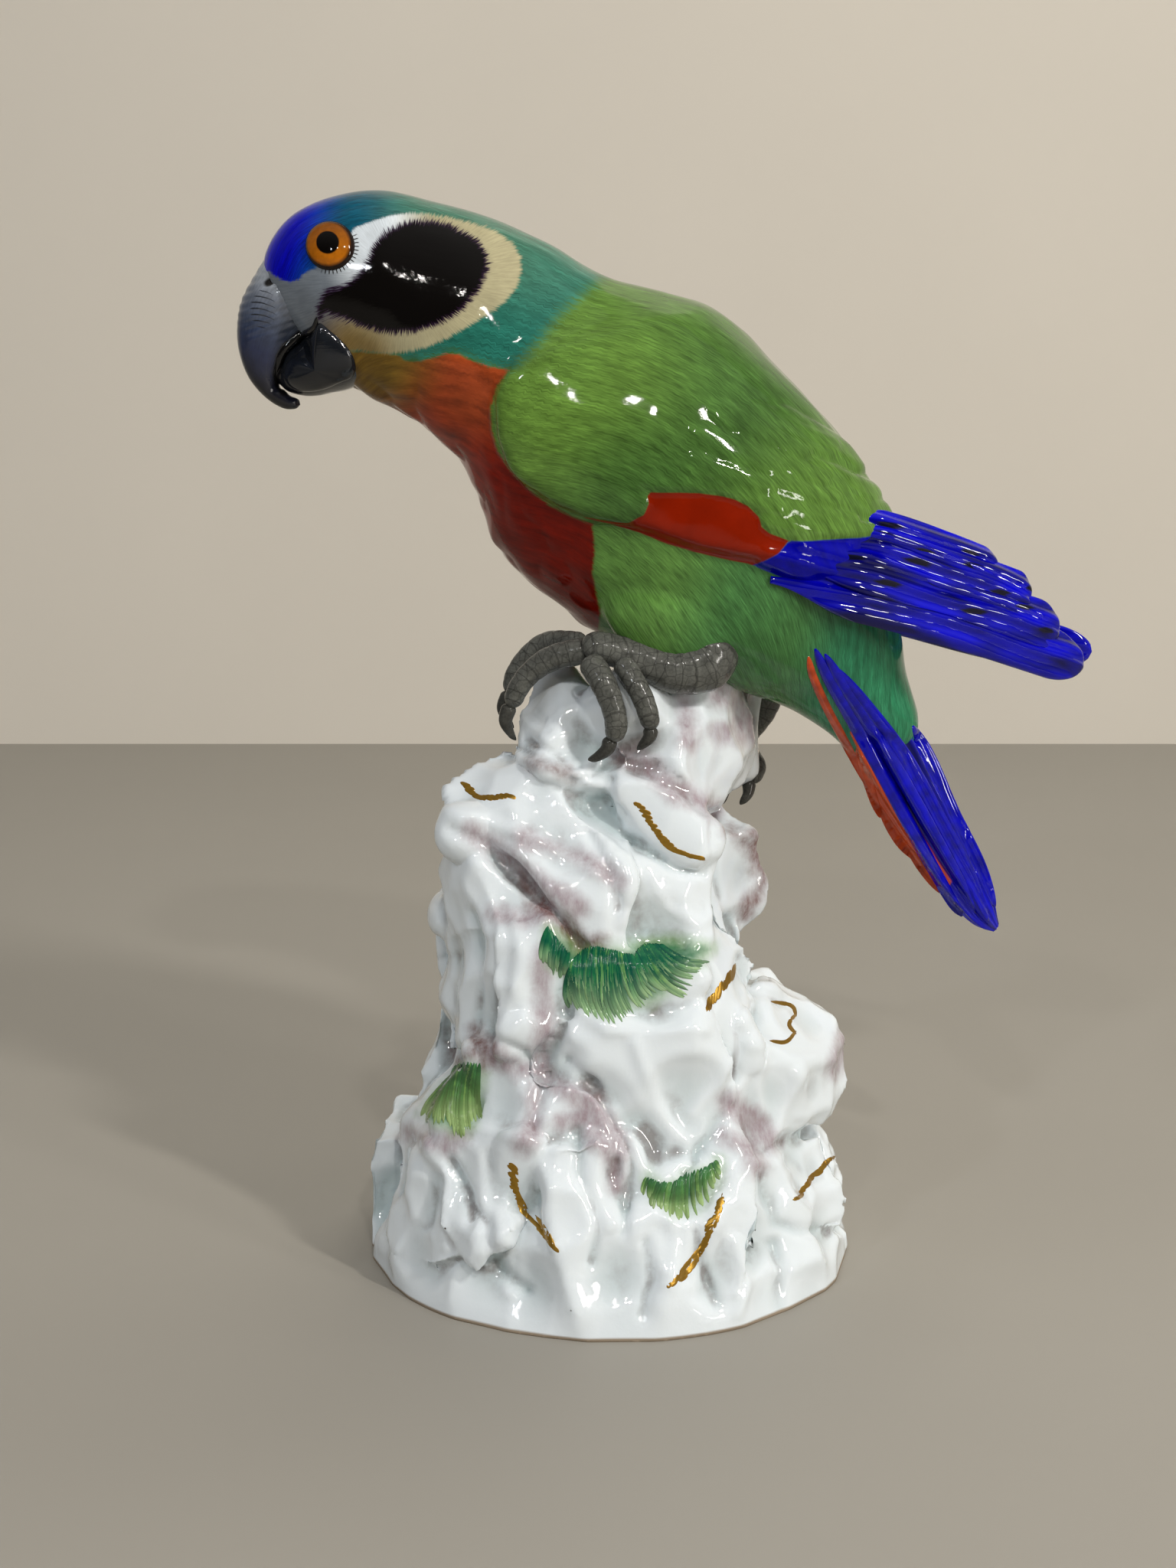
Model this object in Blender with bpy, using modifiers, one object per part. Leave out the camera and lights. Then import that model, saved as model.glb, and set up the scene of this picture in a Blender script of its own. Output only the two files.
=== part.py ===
"""Porcelain parrot perched on a rocky mound, cast and fired as one piece.

The bird faces -X and its left side faces -Y. The floor is z = 0 and the origin is the middle of the
underside. Each form is modelled on its own, and then all are fused under one skin, as the slip joins and
the glaze fuse the casts of a real figurine.
"""

import itertools

import bmesh
import bpy
import numpy as np
from mathutils import Euler, Vector

# Driving sizes, in metres.
ROCK_HEIGHT = 0.186  # floor to the perch under the thighs
BASE_RADIUS = 0.074  # foot of the rock
FOOT_SINK = 0.006  # how far the raw rock reaches below the floor before its foot is ground flat
BIRD_LENGTH = 0.252  # beak to wing tips
BODY_WIDTH = 0.084  # trunk without the wings
WING_RELIEF = 0.0045  # how proud the folded wings stand of the trunk
FEATHER_THICKNESS = 0.0060  # one flight feather
FEATHER_WIDTH = 0.0155
TAIL_WIDTH = 0.027
TAIL_DEPTH = 0.020
BEAK_WIDTH = 0.022
EYE_RADIUS = 0.0060
SHANK_RADIUS = 0.0047
TOE_RADIUS = 0.0036
CLAW_RADIUS = 0.0022
SKIN_VOXEL = 0.0013  # cell of the skin that fuses the forms
SKIN_TRIANGLES = 8800  # facets that the finished skin keeps
PORCELAIN_COLOUR = (0.83, 0.85, 0.84, 1.0)

# The bird's carving is in 252nds of its length, the rock's heights are in 186ths of its own, and the rock's
# other sizes in 74ths of its foot's radius. So a number in the tables below is a millimetre on the original.
# The feet grip the rock, so they are placed in its units.
BIRD_UNIT = BIRD_LENGTH / 252
ROCK_UNIT = ROCK_HEIGHT / 186
ROCK_SPREAD = BASE_RADIUS / 74

# Trunk from face to tail root: back x, z, then breast x, z, then half width as a share of BODY_WIDTH.
# Heights are above the perch.
TRUNK = np.array([
    (-99, 106, -97, 101, 0.03),
    (-101, 113, -89, 92, 0.11),
    (-98, 121, -82, 84, 0.18),
    (-91, 128, -74, 78, 0.245),
    (-80, 132.5, -66, 74, 0.285),
    (-66, 134, -57, 69, 0.315),
    (-50, 130.5, -49, 62, 0.34),
    (-34, 126, -42, 54, 0.37),
    (-18, 119, -38, 43, 0.405),
    (-3, 110.5, -34, 33, 0.445),
    (14, 104, -27, 24, 0.48),
    (32, 93.5, -17, 16, 0.50),
    (48, 78, -5, 7, 0.50),
    (62, 63, 10, -1, 0.475),
    (73, 48, 26, -7, 0.43),
    (81, 31, 41, -12, 0.36),
    (85, 12, 54, -17, 0.275),
    (88, -5, 65, -24, 0.20),
    (92, -20, 75, -32, 0.14),
    (90, -29, 82, -34, 0.04),
])

# Lower front edge of a folded wing, seen from the side: x, height above the perch.
WING_EDGE = np.array([
    (26, 132), (6, 113), (-12, 102), (-23, 95), (-31, 84), (-33, 76), (-32, 66), (-28, 55), (-17, 47), (-4, 42), (11, 38), (21, 34),
    (39, 30), (53, 25), (71, 19), (92, 11),
])

# Flight feathers of a wing, lowest first: root, middle and tip, each x, distance from the middle plane and
# height above the perch.
NEAR_FEATHERS = [
    [(44, 35, 26), (68, 32, 21), (94, 25, 13.5), (118, 17, 5.5), (139, 10, -2)],
    [(48, 34, 32), (72, 31, 27), (94, 24, 19), (116, 17, 13), (131, 12, 8)],
    [(54, 32, 37), (76, 27, 34), (96, 21, 27), (112, 16, 21), (122, 13, 17)],
    [(60, 29, 41), (80, 24, 36), (97, 18, 30), (112, 14, 24)],
]
FAR_FEATHERS = [
    [(44, 35, 21), (68, 32, 14), (94, 26, 8), (120, 18, 2), (146, 11, -1)],
    [(48, 34, 26), (72, 30, 20), (94, 24, 14), (118, 17, 9), (136, 12, 4)],
    [(54, 32, 30), (76, 27, 26), (96, 21, 20), (114, 16, 15), (125, 13, 12)],
    [(60, 29, 34), (80, 24, 30), (97, 18, 24), (111, 14, 18)],
]

# Tail from its root to its tip: x, height above the perch, depth and width as shares.
TAIL = np.array([
    (72, -10, 0.80, 0.60),
    (79, -22, 0.96, 1.00),
    (87.5, -38, 0.92, 0.98),
    (98, -56, 0.76, 0.84),
    (108, -72, 0.58, 0.66),
    (113.5, -80, 0.42, 0.50),
    (117.5, -84.5, 0.14, 0.18),
])

# Upper bill from the brow to the hook: outer x, z, inner x, z, then width as a share of BEAK_WIDTH.
UPPER_BILL = np.array([
    (-99, 117, -80, 106, 0.30),
    (-103, 111, -81, 99, 0.50),
    (-107.5, 103, -85, 96, 0.47),
    (-109, 95, -90, 92.5, 0.39),
    (-108.5, 88, -95, 87, 0.31),
    (-106, 81, -97.5, 82, 0.235),
    (-101.5, 75.5, -97.5, 78, 0.165),
    (-96.5, 72.5, -94.5, 76, 0.115),
    (-92.5, 72, -92, 74.6, 0.07),
])
LOWER_BILL = np.array([
    (-72, 92, -73, 82, 0.20),
    (-76, 95, -77, 80, 0.33),
    (-84, 94.5, -83, 77, 0.34),
    (-91, 91, -89, 75.6, 0.29),
    (-96, 85.5, -94.5, 77, 0.19),
    (-98, 82.5, -97.5, 79.5, 0.06),
])

# Feet: each limb is a path of x, y, height above the perch, and a radius as a share of its kind's.
NEAR_LEG = [(22, -26, 12, 1.3), (27, -29, 1, 1.28), (17, -31, -1, 1.0), (8, -31, 3, 0.80), (-3, -30, 6, 0.85),
            (-8, -29, 6, 0.80)]
FAR_LEG = [(36, 22, 12, 1.3), (47, 21, -6, 1.3), (48, 23, -18, 1.05), (43, 26, -28, 0.85), (38, 28, -34, 0.8)]
TOES = [
    [(-6, -28, 5, 1.15), (-17, -25, 2, 1.1), (-23, -23, -2, 0.98), (-27, -22, -7, 0.9), (-29.5, -21, -13, 0.8)],
    [(-8, -24, 6, 1.0), (-18, -14, 5, 1.0), (-24, -11, 1, 0.95), (-28.5, -10, -5, 0.85), (-30, -10, -11, 0.75)],
    [(-7, -32, 3, 1.15), (-3, -37, -3, 1.1), (0, -38.5, -10, 1.0), (1, -38, -16, 0.95), (-0.5, -36.5, -20, 0.8)],
    [(2, -32, 3, 1.0), (6.5, -36, -4, 0.95), (9, -37.5, -9, 0.9), (10.5, -37, -14, 0.85), (11, -36, -17, 0.75)],
    [(40, 28, -33, 1.0), (38, 31, -39, 1.0), (37, 30, -44, 0.8)],
    [(40, 28, -33, 1.0), (45, 22, -38, 1.0), (43, 18, -43, 0.8)],
]
CLAWS = [
    [(-29.5, -21, -12, 1.15), (-31, -20.5, -17, 0.95), (-29.5, -20, -21, 0.55), (-28, -19.5, -23, 0.3)],
    [(-30, -10, -10, 1.15), (-32, -10, -15, 0.95), (-30.5, -10, -19, 0.55), (-29, -10, -21, 0.3)],
    [(-0.5, -36.5, -19, 1.15), (-1.5, -36.5, -22.5, 0.95), (-4.5, -36, -25, 0.65), (-7, -35, -26, 0.4)],
    [(11, -36, -16, 1.15), (10.5, -36.5, -19, 0.95), (8.5, -36, -21.5, 0.6), (7, -35, -23, 0.35)],
    [(37, 30, -43, 1.15), (36, 27, -48, 0.7), (35, 24, -51, 0.35)],
    [(43, 18, -42, 1.15), (42.5, 16, -46, 0.8), (40, 14, -49, 0.4)],
]

# Heart of the rock: height, x of its middle, half size along X, half size along Y.
HEART = np.array([
    (0, 0, 74, 74), (10, 0, 72.5, 72.5), (26, 0, 67, 67), (40, -1, 61, 59), (50, -1, 54, 54), (60, -1, 47, 50),
    (80, -3, 43, 46), (104, -6, 43, 42), (122, -7, 38, 38), (138, -4, 33, 33), (154, 5, 27, 27),
    (170, 10, 24, 22), (181, 12, 18, 16),
])

# Hewn faces that show from the front: corner points x, y, z. Each face is the outside of a wedge that
# reaches in to the rock's axis, so that neighbours meet in creases.
HEWN_FACES = {
    "thumb": [(-19, -12, 182), (-13, -12, 182), (-9, -16, 177), (-5, -22, 168), (-4, -28, 160), (-22, -14, 177),
              (-27, -16, 169), (-29, -18, 162), (-19, -26, 171), (-11, -26, 175), (-21, -30, 161)],
    "thumb_lip": [(-29, -20, 160), (-20, -34, 158), (-8, -36, 154), (2, -32, 150), (-14, -30, 146), (2, -30, 160)],
    "slab": [(-31, -14, 159), (-47, -20, 147), (-45, -26, 140), (-29, -36, 141), (-24, -42, 133), (-14, -46, 122),
             (-5, -48, 108), (3, -48, 110), (3, -44, 129), (-5, -40, 140), (-15, -36, 148), (-22, -30, 153)],
    "left_block": [(-45, -24, 133), (-40, -34, 131), (-20, -44, 117), (-33, -46, 112), (-51, -10, 117),
                   (-51, -14, 102), (-44, -34, 110), (-46, -4, 130)],
    "left_column": [(-33, -47, 113), (-19, -48, 115), (-14, -50, 107), (-14, -50, 87), (-21, -52, 83),
                    (-33, -50, 87)],
    "left_flute": [(-50, -14, 102), (-43, -34, 108), (-35, -43, 109), (-35, -43, 82), (-42, -37, 79),
                   (-49, -22, 69), (-50, -6, 80)],
    "grass_shelf": [(-12, -47, 109), (11, -44, 109), (23, -42, 105), (25, -46, 96), (20, -50, 89), (7, -52, 87),
                    (-9, -52, 87)],
    "upper_face": [(0, -38, 134), (29, -34, 129), (31, -33, 114), (28, -40, 109), (11, -44, 108), (3, -46, 109),
                   (3, -42, 129)],
    "shoulder_face": [(23, -44, 105), (31, -34, 115), (42, -24, 96), (41, -28, 84), (36, -40, 77),
                      (23, -48, 80), (23, -48, 94)],
    "middle_face": [(-12, -52, 86), (22, -52, 81), (24, -48, 92), (34, -46, 65), (26, -50, 46), (18, -52, 42),
                    (9, -54, 46), (-1, -54, 66)],
    "right_block": [(33, 4, 138), (30, -12, 131), (43, -2, 131), (46, 2, 116), (44, 2, 108), (38, 0, 97),
                    (32, -14, 109), (38, 16, 126), (36, 18, 104)],
    "right_ledge": [(39, -36, 75), (43, -20, 88), (61, -6, 78), (72, -4, 66), (72, -6, 54), (64, -14, 45),
                    (54, -30, 66), (52, -34, 50), (43, -40, 47), (34, -44, 60), (50, 18, 80), (64, 18, 60)],
    "right_foot": [(39, -42, 48), (64, -16, 39), (68, -18, 28), (70, -22, 14), (43, -54, 22), (43, -50, 35)],
    "front_right": [(32, -46, 58), (39, -48, 49), (42, -58, 29), (35, -64, 12), (11, -69, 12), (6, -62, 37),
                    (9, -58, 44)],
    "middle_low": [(-22, -54, 70), (-7, -56, 67), (0, -56, 62), (3, -56, 51), (-5, -58, 53), (-22, -57, 49),
                   (-24, -54, 52)],
    "front_boss": [(-23, -58, 49), (-15, -62, 52), (-5, -62, 54), (0, -60, 44), (2, -64, 31), (-7, -69, 15),
                   (-16, -69, 27), (-17, -66, 41)],
    "left_low": [(-36, -44, 80), (-24, -50, 78), (-22, -54, 71), (-24, -55, 51), (-35, -54, 46), (-39, -50, 46),
                 (-37, -46, 59)],
    "left_shoulder": [(-47, -20, 61), (-60, -14, 45), (-64, -16, 37), (-56, -38, 43), (-48, -43, 52),
                      (-38, -46, 52), (-39, -40, 61), (-46, 14, 60), (-58, 18, 44)],
    "left_foot": [(-64, -18, 37), (-55, -41, 44), (-46, -48, 46), (-42, -59, 22), (-54, -52, 14), (-67, -28, 14)],
    "front_left": [(-48, -44, 51), (-35, -54, 47), (-29, -64, 31), (-39, -62, 17), (-51, -54, 28)],
    "pillar": [(18, -34, 161), (27, -32, 147), (42, -2, 167), (42, 0, 160), (38, -2, 152), (35, -4, 143),
               (28, -18, 139), (3, -32, 161), (0, -24, 171), (32, -16, 173), (22, -26, 170), (34, -8, 186),
               (8, -12, 182), (41, 14, 180), (6, 18, 176), (40, 18, 150), (4, 26, 150)],
}

FACE_LAP = 1.10  # how far each face grows over its neighbours, so that no gap opens between them

# Rounder lumps and the raised tufts of grass: centre, half sizes, turns about X, Y and Z in degrees.
LUMPS = {
    "foot_rest": ((3, -25, 172), (13, 11, 12), (0, 0, 0)),
    "far_foot_rest": ((38, 19, 163), (9, 10, 22), (0, 0, 0)),
    "oval_boss": ((14.5, -33, 144), (20.5, 9.5, 11.5), (-10, 40, 0)),
    "left_boss": ((-50, -6, 107), (7, 11, 8), (0, 20, 0)),
    "middle_tuft": ((4, -46, 98), (24, 6.5, 11), (-6, 0, 2)),
    "left_tuft": ((-45, -39, 60), (7, 5, 12), (-20, 20, -30)),
    "front_tuft": ((20, -56, 42), (11, 6, 7), (-24, -8, 10)),
}

# Back of the rock, plainer: the heights where its bands of faces meet, and how far the faces stand out, in
# half sizes of the heart.
BACK_BANDS = [4, 32, 54, 82, 112, 140, 166]
BACK_FACES = 5  # faces across each band
BACK_OVERLAP = 4
BACK_PROUD = (0.03, 0.17)
BACK_TILT = 0.05


def clear_scene():
    for thing in list(bpy.data.objects):
        bpy.data.objects.remove(thing, do_unlink=True)


def smooth_step(t):
    t = np.clip(t, 0.0, 1.0)
    return t * t * (3 - 2 * t)


def resample(table, count):
    """A smooth Catmull-Rom curve through the rows of a table, as this many rows."""
    table = np.asarray(table, float)
    ends = np.vstack([2 * table[0] - table[1], table, 2 * table[-1] - table[-2]])
    place = np.linspace(0, len(table) - 1, count)
    span = np.minimum(place.astype(int), len(table) - 2)
    t = (place - span)[:, None]
    a, b, c, d = (ends[span + k] for k in range(4))
    return 0.5 * (2 * b + (c - a) * t + (2 * a - 5 * b + 4 * c - d) * t**2 + (3 * b - a - 3 * c + d) * t**3)


def mesh_object(name, points, faces, collection):
    mesh = bpy.data.meshes.new(name)
    mesh.from_pydata(points.tolist(), [], faces)
    shape = bmesh.new()
    shape.from_mesh(mesh)
    bmesh.ops.recalc_face_normals(shape, faces=shape.faces)
    shape.to_mesh(mesh)
    shape.free()
    thing = bpy.data.objects.new(name, mesh)
    collection.objects.link(thing)
    return thing


def loft(name, rings, collection):
    """A closed solid through a stack of rings, each end closed on its middle."""
    stations, around = rings.shape[:2]
    points = np.vstack([rings.reshape(-1, 3), rings[0].mean(0), rings[-1].mean(0)])
    first, last = stations * around, stations * around + 1
    faces = []
    for ring in range(stations - 1):
        for k in range(around):
            here, there = ring * around, (ring + 1) * around
            after = (k + 1) % around
            faces.append((here + k, here + after, there + after, there + k))
    for k in range(around):
        after = (k + 1) % around
        faces.append((first, after, k))
        faces.append((last, (stations - 1) * around + k, (stations - 1) * around + after))
    return mesh_object(name, points, faces, collection)


def profile_rings(table, full_width, count, around):
    """Oval rings between the upper and lower profile lines of a table, in the bird's frame."""
    rows = resample(table, count)
    upper, lower, width = rows[:, 0:2] * BIRD_UNIT, rows[:, 2:4] * BIRD_UNIT, rows[:, 4] * full_width
    middle, reach = (upper + lower) / 2, (upper - lower) / 2
    angle = np.linspace(0, 2 * np.pi, around, endpoint=False)
    flat = middle[:, None, :] + reach[:, None, :] * np.cos(angle)[None, :, None]
    side = width[:, None] * np.sin(angle)[None, :]
    return np.stack([flat[..., 0], side, flat[..., 1] + ROCK_HEIGHT], axis=-1)


def distance_past(edge, x, z):
    """How far each point lies inside an open edge line, on the left of its run; negative outside."""
    start, run = edge[:-1], np.diff(edge, axis=0)
    away = np.stack([x, z], -1)[..., None, :] - start
    along = np.clip((away * run).sum(-1) / (run * run).sum(-1), 0, 1)
    gap = away - along[..., None] * run
    length = np.linalg.norm(gap, axis=-1)
    nearest = length.argmin(-1)[..., None]
    cross = run[:, 0] * away[..., 1] - run[:, 1] * away[..., 0]
    side = np.sign(np.take_along_axis(cross, nearest, -1)[..., 0])
    return side * np.take_along_axis(length, nearest, -1)[..., 0]


def trunk_rings(count, around):
    """Head, neck and trunk, with the folded wings standing proud of the flanks and back."""
    rings = profile_rings(TRUNK, BODY_WIDTH, count, around)
    along = np.gradient(rings, axis=0)
    across = np.roll(rings, -1, axis=1) - np.roll(rings, 1, axis=1)
    normal = np.cross(across, along)
    normal /= np.linalg.norm(normal, axis=-1, keepdims=True) + 1e-12
    middle = rings.mean(1, keepdims=True)
    normal *= np.sign(((rings - middle) * normal).sum(-1, keepdims=True))
    x, z = rings[..., 0] / BIRD_UNIT, (rings[..., 2] - ROCK_HEIGHT) / BIRD_UNIT
    inside = distance_past(WING_EDGE, x, z)
    softness = 5 + 24 * smooth_step((z - 78) / 26)
    tail_fade = 1 - smooth_step((x - 84) / 6)
    proud = smooth_step(inside / softness) * tail_fade
    return rings + normal * (proud * WING_RELIEF)[..., None]


def build_trunk(collection):
    loft("trunk", trunk_rings(90, 72), collection)


def build_feather(name, path, side, collection):
    """A flight feather: a flattened oval blade with a round tip, leaning in at its upper edge."""
    line = resample(path, 26)
    line[:, 1] *= side
    line *= BIRD_UNIT
    line[:, 2] += ROCK_HEIGHT
    share = np.linspace(0, 1, len(line))
    tip = np.sqrt(np.clip(1 - ((share - 0.86) / 0.14).clip(0, 1) ** 2, 0.02, 1))
    swell = (0.40 + 0.60 * smooth_step(share * 3.2)) * tip
    along = np.gradient(line, axis=0)
    along /= np.linalg.norm(along, axis=1, keepdims=True)
    upright = np.tile(np.array([0.0, -0.34 * side, 0.94]), (len(line), 1))
    upright -= along * (upright * along).sum(1, keepdims=True)
    upright /= np.linalg.norm(upright, axis=1, keepdims=True)
    outward = np.cross(along, upright)
    angle = np.linspace(0, 2 * np.pi, 20, endpoint=False)
    rings = (
        line[:, None, :]
        + upright[:, None, :] * (np.cos(angle)[None, :, None] * swell[:, None, None] * FEATHER_WIDTH / 2)
        + outward[:, None, :] * (np.sin(angle)[None, :, None] * swell[:, None, None] * FEATHER_THICKNESS / 2)
    )
    loft(name, rings, collection)


def build_wings(collection):
    for wing, side, feathers in (("near", -1, NEAR_FEATHERS), ("far", 1, FAR_FEATHERS)):
        for number, path in enumerate(feathers):
            build_feather(f"{wing}_feather_{number}", path, side, collection)


def build_tail(collection):
    """The closed tail: roof shaped, with the vanes of its feathers as ridges along it."""
    rows = resample(TAIL, 40)
    centre = rows[:, 0:2] * BIRD_UNIT
    run = np.gradient(centre, axis=0)
    run /= np.linalg.norm(run, axis=1, keepdims=True)
    back = np.stack([-run[:, 1], run[:, 0]], axis=1)
    angle = np.linspace(0, 2 * np.pi, 48, endpoint=False)
    vane = 1 + 0.05 * np.cos(8 * angle)
    depth = rows[:, 2, None] * TAIL_DEPTH / 2 * (vane * np.cos(angle))[None, :]
    width = rows[:, 3, None] * TAIL_WIDTH / 2 * (vane * np.sin(angle) * (1 - 0.38 * np.cos(angle)))[None, :]
    flat = centre[:, None, :] + back[:, None, :] * depth[..., None]
    rings = np.stack([flat[..., 0], width, flat[..., 1] + ROCK_HEIGHT], axis=-1)
    loft("tail", rings, collection)


def build_bill(collection):
    loft("upper_bill", profile_rings(UPPER_BILL, BEAK_WIDTH, 30, 28), collection)
    loft("lower_bill", profile_rings(LOWER_BILL, BEAK_WIDTH, 20, 28), collection)


def ball(name, centre, radii, turn, collection):
    shape = bmesh.new()
    bmesh.ops.create_uvsphere(shape, u_segments=32, v_segments=20, radius=1.0)
    mesh = bpy.data.meshes.new(name)
    shape.to_mesh(mesh)
    shape.free()
    thing = bpy.data.objects.new(name, mesh)
    thing.scale = radii
    thing.rotation_euler = Euler(np.radians(turn))
    thing.location = centre
    collection.objects.link(thing)
    return thing


def on_bird(x, y, z):
    return Vector((x * BIRD_UNIT, y * BIRD_UNIT, z * BIRD_UNIT + ROCK_HEIGHT))


def on_rock(x, y, z):
    return Vector((x * ROCK_SPREAD, y * ROCK_SPREAD, z * ROCK_UNIT))


def build_eyes(collection):
    for side in (-1, 1):
        ball(f"eye_{side}", on_bird(-80, side * 17.5, 116.5), (EYE_RADIUS, EYE_RADIUS * 0.72, EYE_RADIUS),
             (0, 0, 0), collection)


def build_thighs(collection):
    radii = Vector((26, 12, 19)) * BIRD_UNIT
    ball("near_thigh", on_bird(13, -26, 19), radii, (0, 22, 0), collection)
    ball("far_thigh", on_bird(28, 24, 11), radii, (0, 30, 0), collection)


def tube(name, path, radius, collection):
    """A limb: a curve with a round section whose thickness follows its points."""
    line = bpy.data.curves.new(name, "CURVE")
    line.dimensions = "3D"
    line.bevel_depth = radius
    line.bevel_resolution = 3
    line.use_fill_caps = True
    rows = resample(path, 4 * len(path) - 3)
    spline = line.splines.new("POLY")
    spline.points.add(len(rows) - 1)
    for point, (x, y, z, share) in zip(spline.points, rows):
        point.co = (*on_rock(x, y, z), 1.0)
        point.co.z += ROCK_HEIGHT
        point.radius = max(share, 0.1)
    thing = bpy.data.objects.new(name, line)
    collection.objects.link(thing)


def build_feet(collection):
    tube("near_leg", NEAR_LEG, SHANK_RADIUS, collection)
    tube("far_leg", FAR_LEG, SHANK_RADIUS, collection)
    for number, (toe, claw) in enumerate(zip(TOES, CLAWS)):
        tube(f"toe_{number}", toe, TOE_RADIUS, collection)
        tube(f"claw_{number}", claw, CLAW_RADIUS, collection)


def build_wedge(name, corners, collection):
    """A hewn wedge: the convex hull of its outer corners and of a short stretch of the rock's axis."""
    corners = np.asarray(corners, float)
    corners = corners.mean(0) + FACE_LAP * (corners - corners.mean(0))
    inner = corners.mean(0) * (0.12, 0.12, 1)
    half = 0.2 * np.ptp(corners[:, 2])
    shape = bmesh.new()
    for x, y, z in np.vstack([corners, inner + (0, 0, half), inner - (0, 0, half)]):
        shape.verts.new(on_rock(x, y, z))
    hull = bmesh.ops.convex_hull(shape, input=shape.verts[:])
    unused = [thing for thing in hull["geom_interior"] if isinstance(thing, bmesh.types.BMVert)]
    bmesh.ops.delete(shape, geom=unused, context="VERTS")
    mesh = bpy.data.meshes.new(name)
    shape.to_mesh(mesh)
    shape.free()
    collection.objects.link(bpy.data.objects.new(name, mesh))


def heart_at(height):
    """Middle and half sizes of the heart of the rock at a height in the rock's units."""
    return [np.interp(height, HEART[:, 0], HEART[:, column]) for column in (1, 2, 3)]


def build_heart(collection):
    """The heart of the rock, whose foot spreads to the floor with shallow folds down its face."""
    angle = np.linspace(0, 2 * np.pi, 120, endpoint=False)
    folds = np.sin(7 * angle + 0.6) + 0.7 * np.sin(11 * angle + 2.1) + 0.5 * np.sin(17 * angle)
    rings = [np.stack([BASE_RADIUS * np.cos(angle), BASE_RADIUS * np.sin(angle), np.full(120, -FOOT_SINK)], 1)]
    for height in np.linspace(0, HEART[-1, 0], 50):
        middle, half_x, half_y = heart_at(height)
        folding = 1.6 * smooth_step(height / 16) * (1 - smooth_step((height - 40) / 40))
        x = (middle + (half_x + folds * folding) * np.cos(angle)) * ROCK_SPREAD
        y = (half_y + folds * folding) * np.sin(angle) * ROCK_SPREAD
        rings.append(np.stack([x, y, np.full(120, height * ROCK_UNIT)], 1))
    loft("heart", np.array(rings), collection)


def build_back(collection):
    """Rows of plainer hewn faces round the back, each with its own depth and tilt."""
    chance = np.random.default_rng(11)
    for band, (low, high) in enumerate(itertools.pairwise(BACK_BANDS)):
        bounds = np.linspace(2, 174, BACK_FACES + 1) + chance.uniform(-9, 9, BACK_FACES + 1)
        for number, (start, end) in enumerate(itertools.pairwise(np.radians(bounds))):
            proud = chance.uniform(*BACK_PROUD)
            heights = (low - BACK_OVERLAP, (low + high) / 2, high + BACK_OVERLAP)
            corners = []
            for angle, height in itertools.product((start, (start + end) / 2, end), heights):
                middle, half_x, half_y = heart_at(height)
                reach = 1 + (proud + chance.uniform(-BACK_TILT, BACK_TILT)) * smooth_step(height / 44)
                x = middle + half_x * reach * np.cos(angle)
                corners.append((x, half_y * reach * np.sin(angle), height + chance.uniform(-3, 3)))
            build_wedge(f"back_{band}_{number}", corners, collection)


def build_rock(collection):
    build_heart(collection)
    build_back(collection)
    for name, corners in HEWN_FACES.items():
        build_wedge(name, corners, collection)
    for name, (centre, half, turn) in LUMPS.items():
        ball(name, on_rock(*centre), Vector(half) * ROCK_UNIT, turn, collection)


def as_mesh(thing):
    graph = bpy.context.evaluated_depsgraph_get()
    mesh = bpy.data.meshes.new_from_object(thing.evaluated_get(graph), depsgraph=graph)
    mesh.transform(thing.matrix_world)
    return mesh


def gathered(collection):
    """All forms of a collection as one mesh of loose shells."""
    bpy.context.view_layer.update()
    whole = bmesh.new()
    for thing in collection.objects:
        mesh = as_mesh(thing)
        piece = bmesh.new()
        piece.from_mesh(mesh)
        bmesh.ops.remove_doubles(piece, verts=piece.verts, dist=1e-6)
        bmesh.ops.recalc_face_normals(piece, faces=piece.faces)
        piece.to_mesh(mesh)
        piece.free()
        whole.from_mesh(mesh)
        bpy.data.meshes.remove(mesh)
    mesh = bpy.data.meshes.new("forms")
    whole.to_mesh(mesh)
    whole.free()
    return mesh


def keep_outer_shell(shape):
    """Removes the shells that close off hollows between the stones."""
    shape.verts.ensure_lookup_table()
    left = set(shape.verts)
    shells = []
    while left:
        stack = [left.pop()]
        shell = list(stack)
        while stack:
            for edge in stack.pop().link_edges:
                for vertex in edge.verts:
                    if vertex in left:
                        left.remove(vertex)
                        stack.append(vertex)
                        shell.append(vertex)
        shells.append(shell)
    shells.sort(key=len)
    for shell in shells[:-1]:
        bmesh.ops.delete(shape, geom=shell, context="VERTS")


def grind_foot_flat(shape):
    """Cuts the rock at the floor and closes the cut with one flat face."""
    everything = shape.verts[:] + shape.edges[:] + shape.faces[:]
    bmesh.ops.bisect_plane(shape, geom=everything, plane_co=(0, 0, 0), plane_no=(0, 0, -1), clear_outer=True)
    rim = [edge for edge in shape.edges if edge.is_boundary]
    bmesh.ops.contextual_create(shape, geom=rim)
    bmesh.ops.recalc_face_normals(shape, faces=shape.faces)


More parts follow.
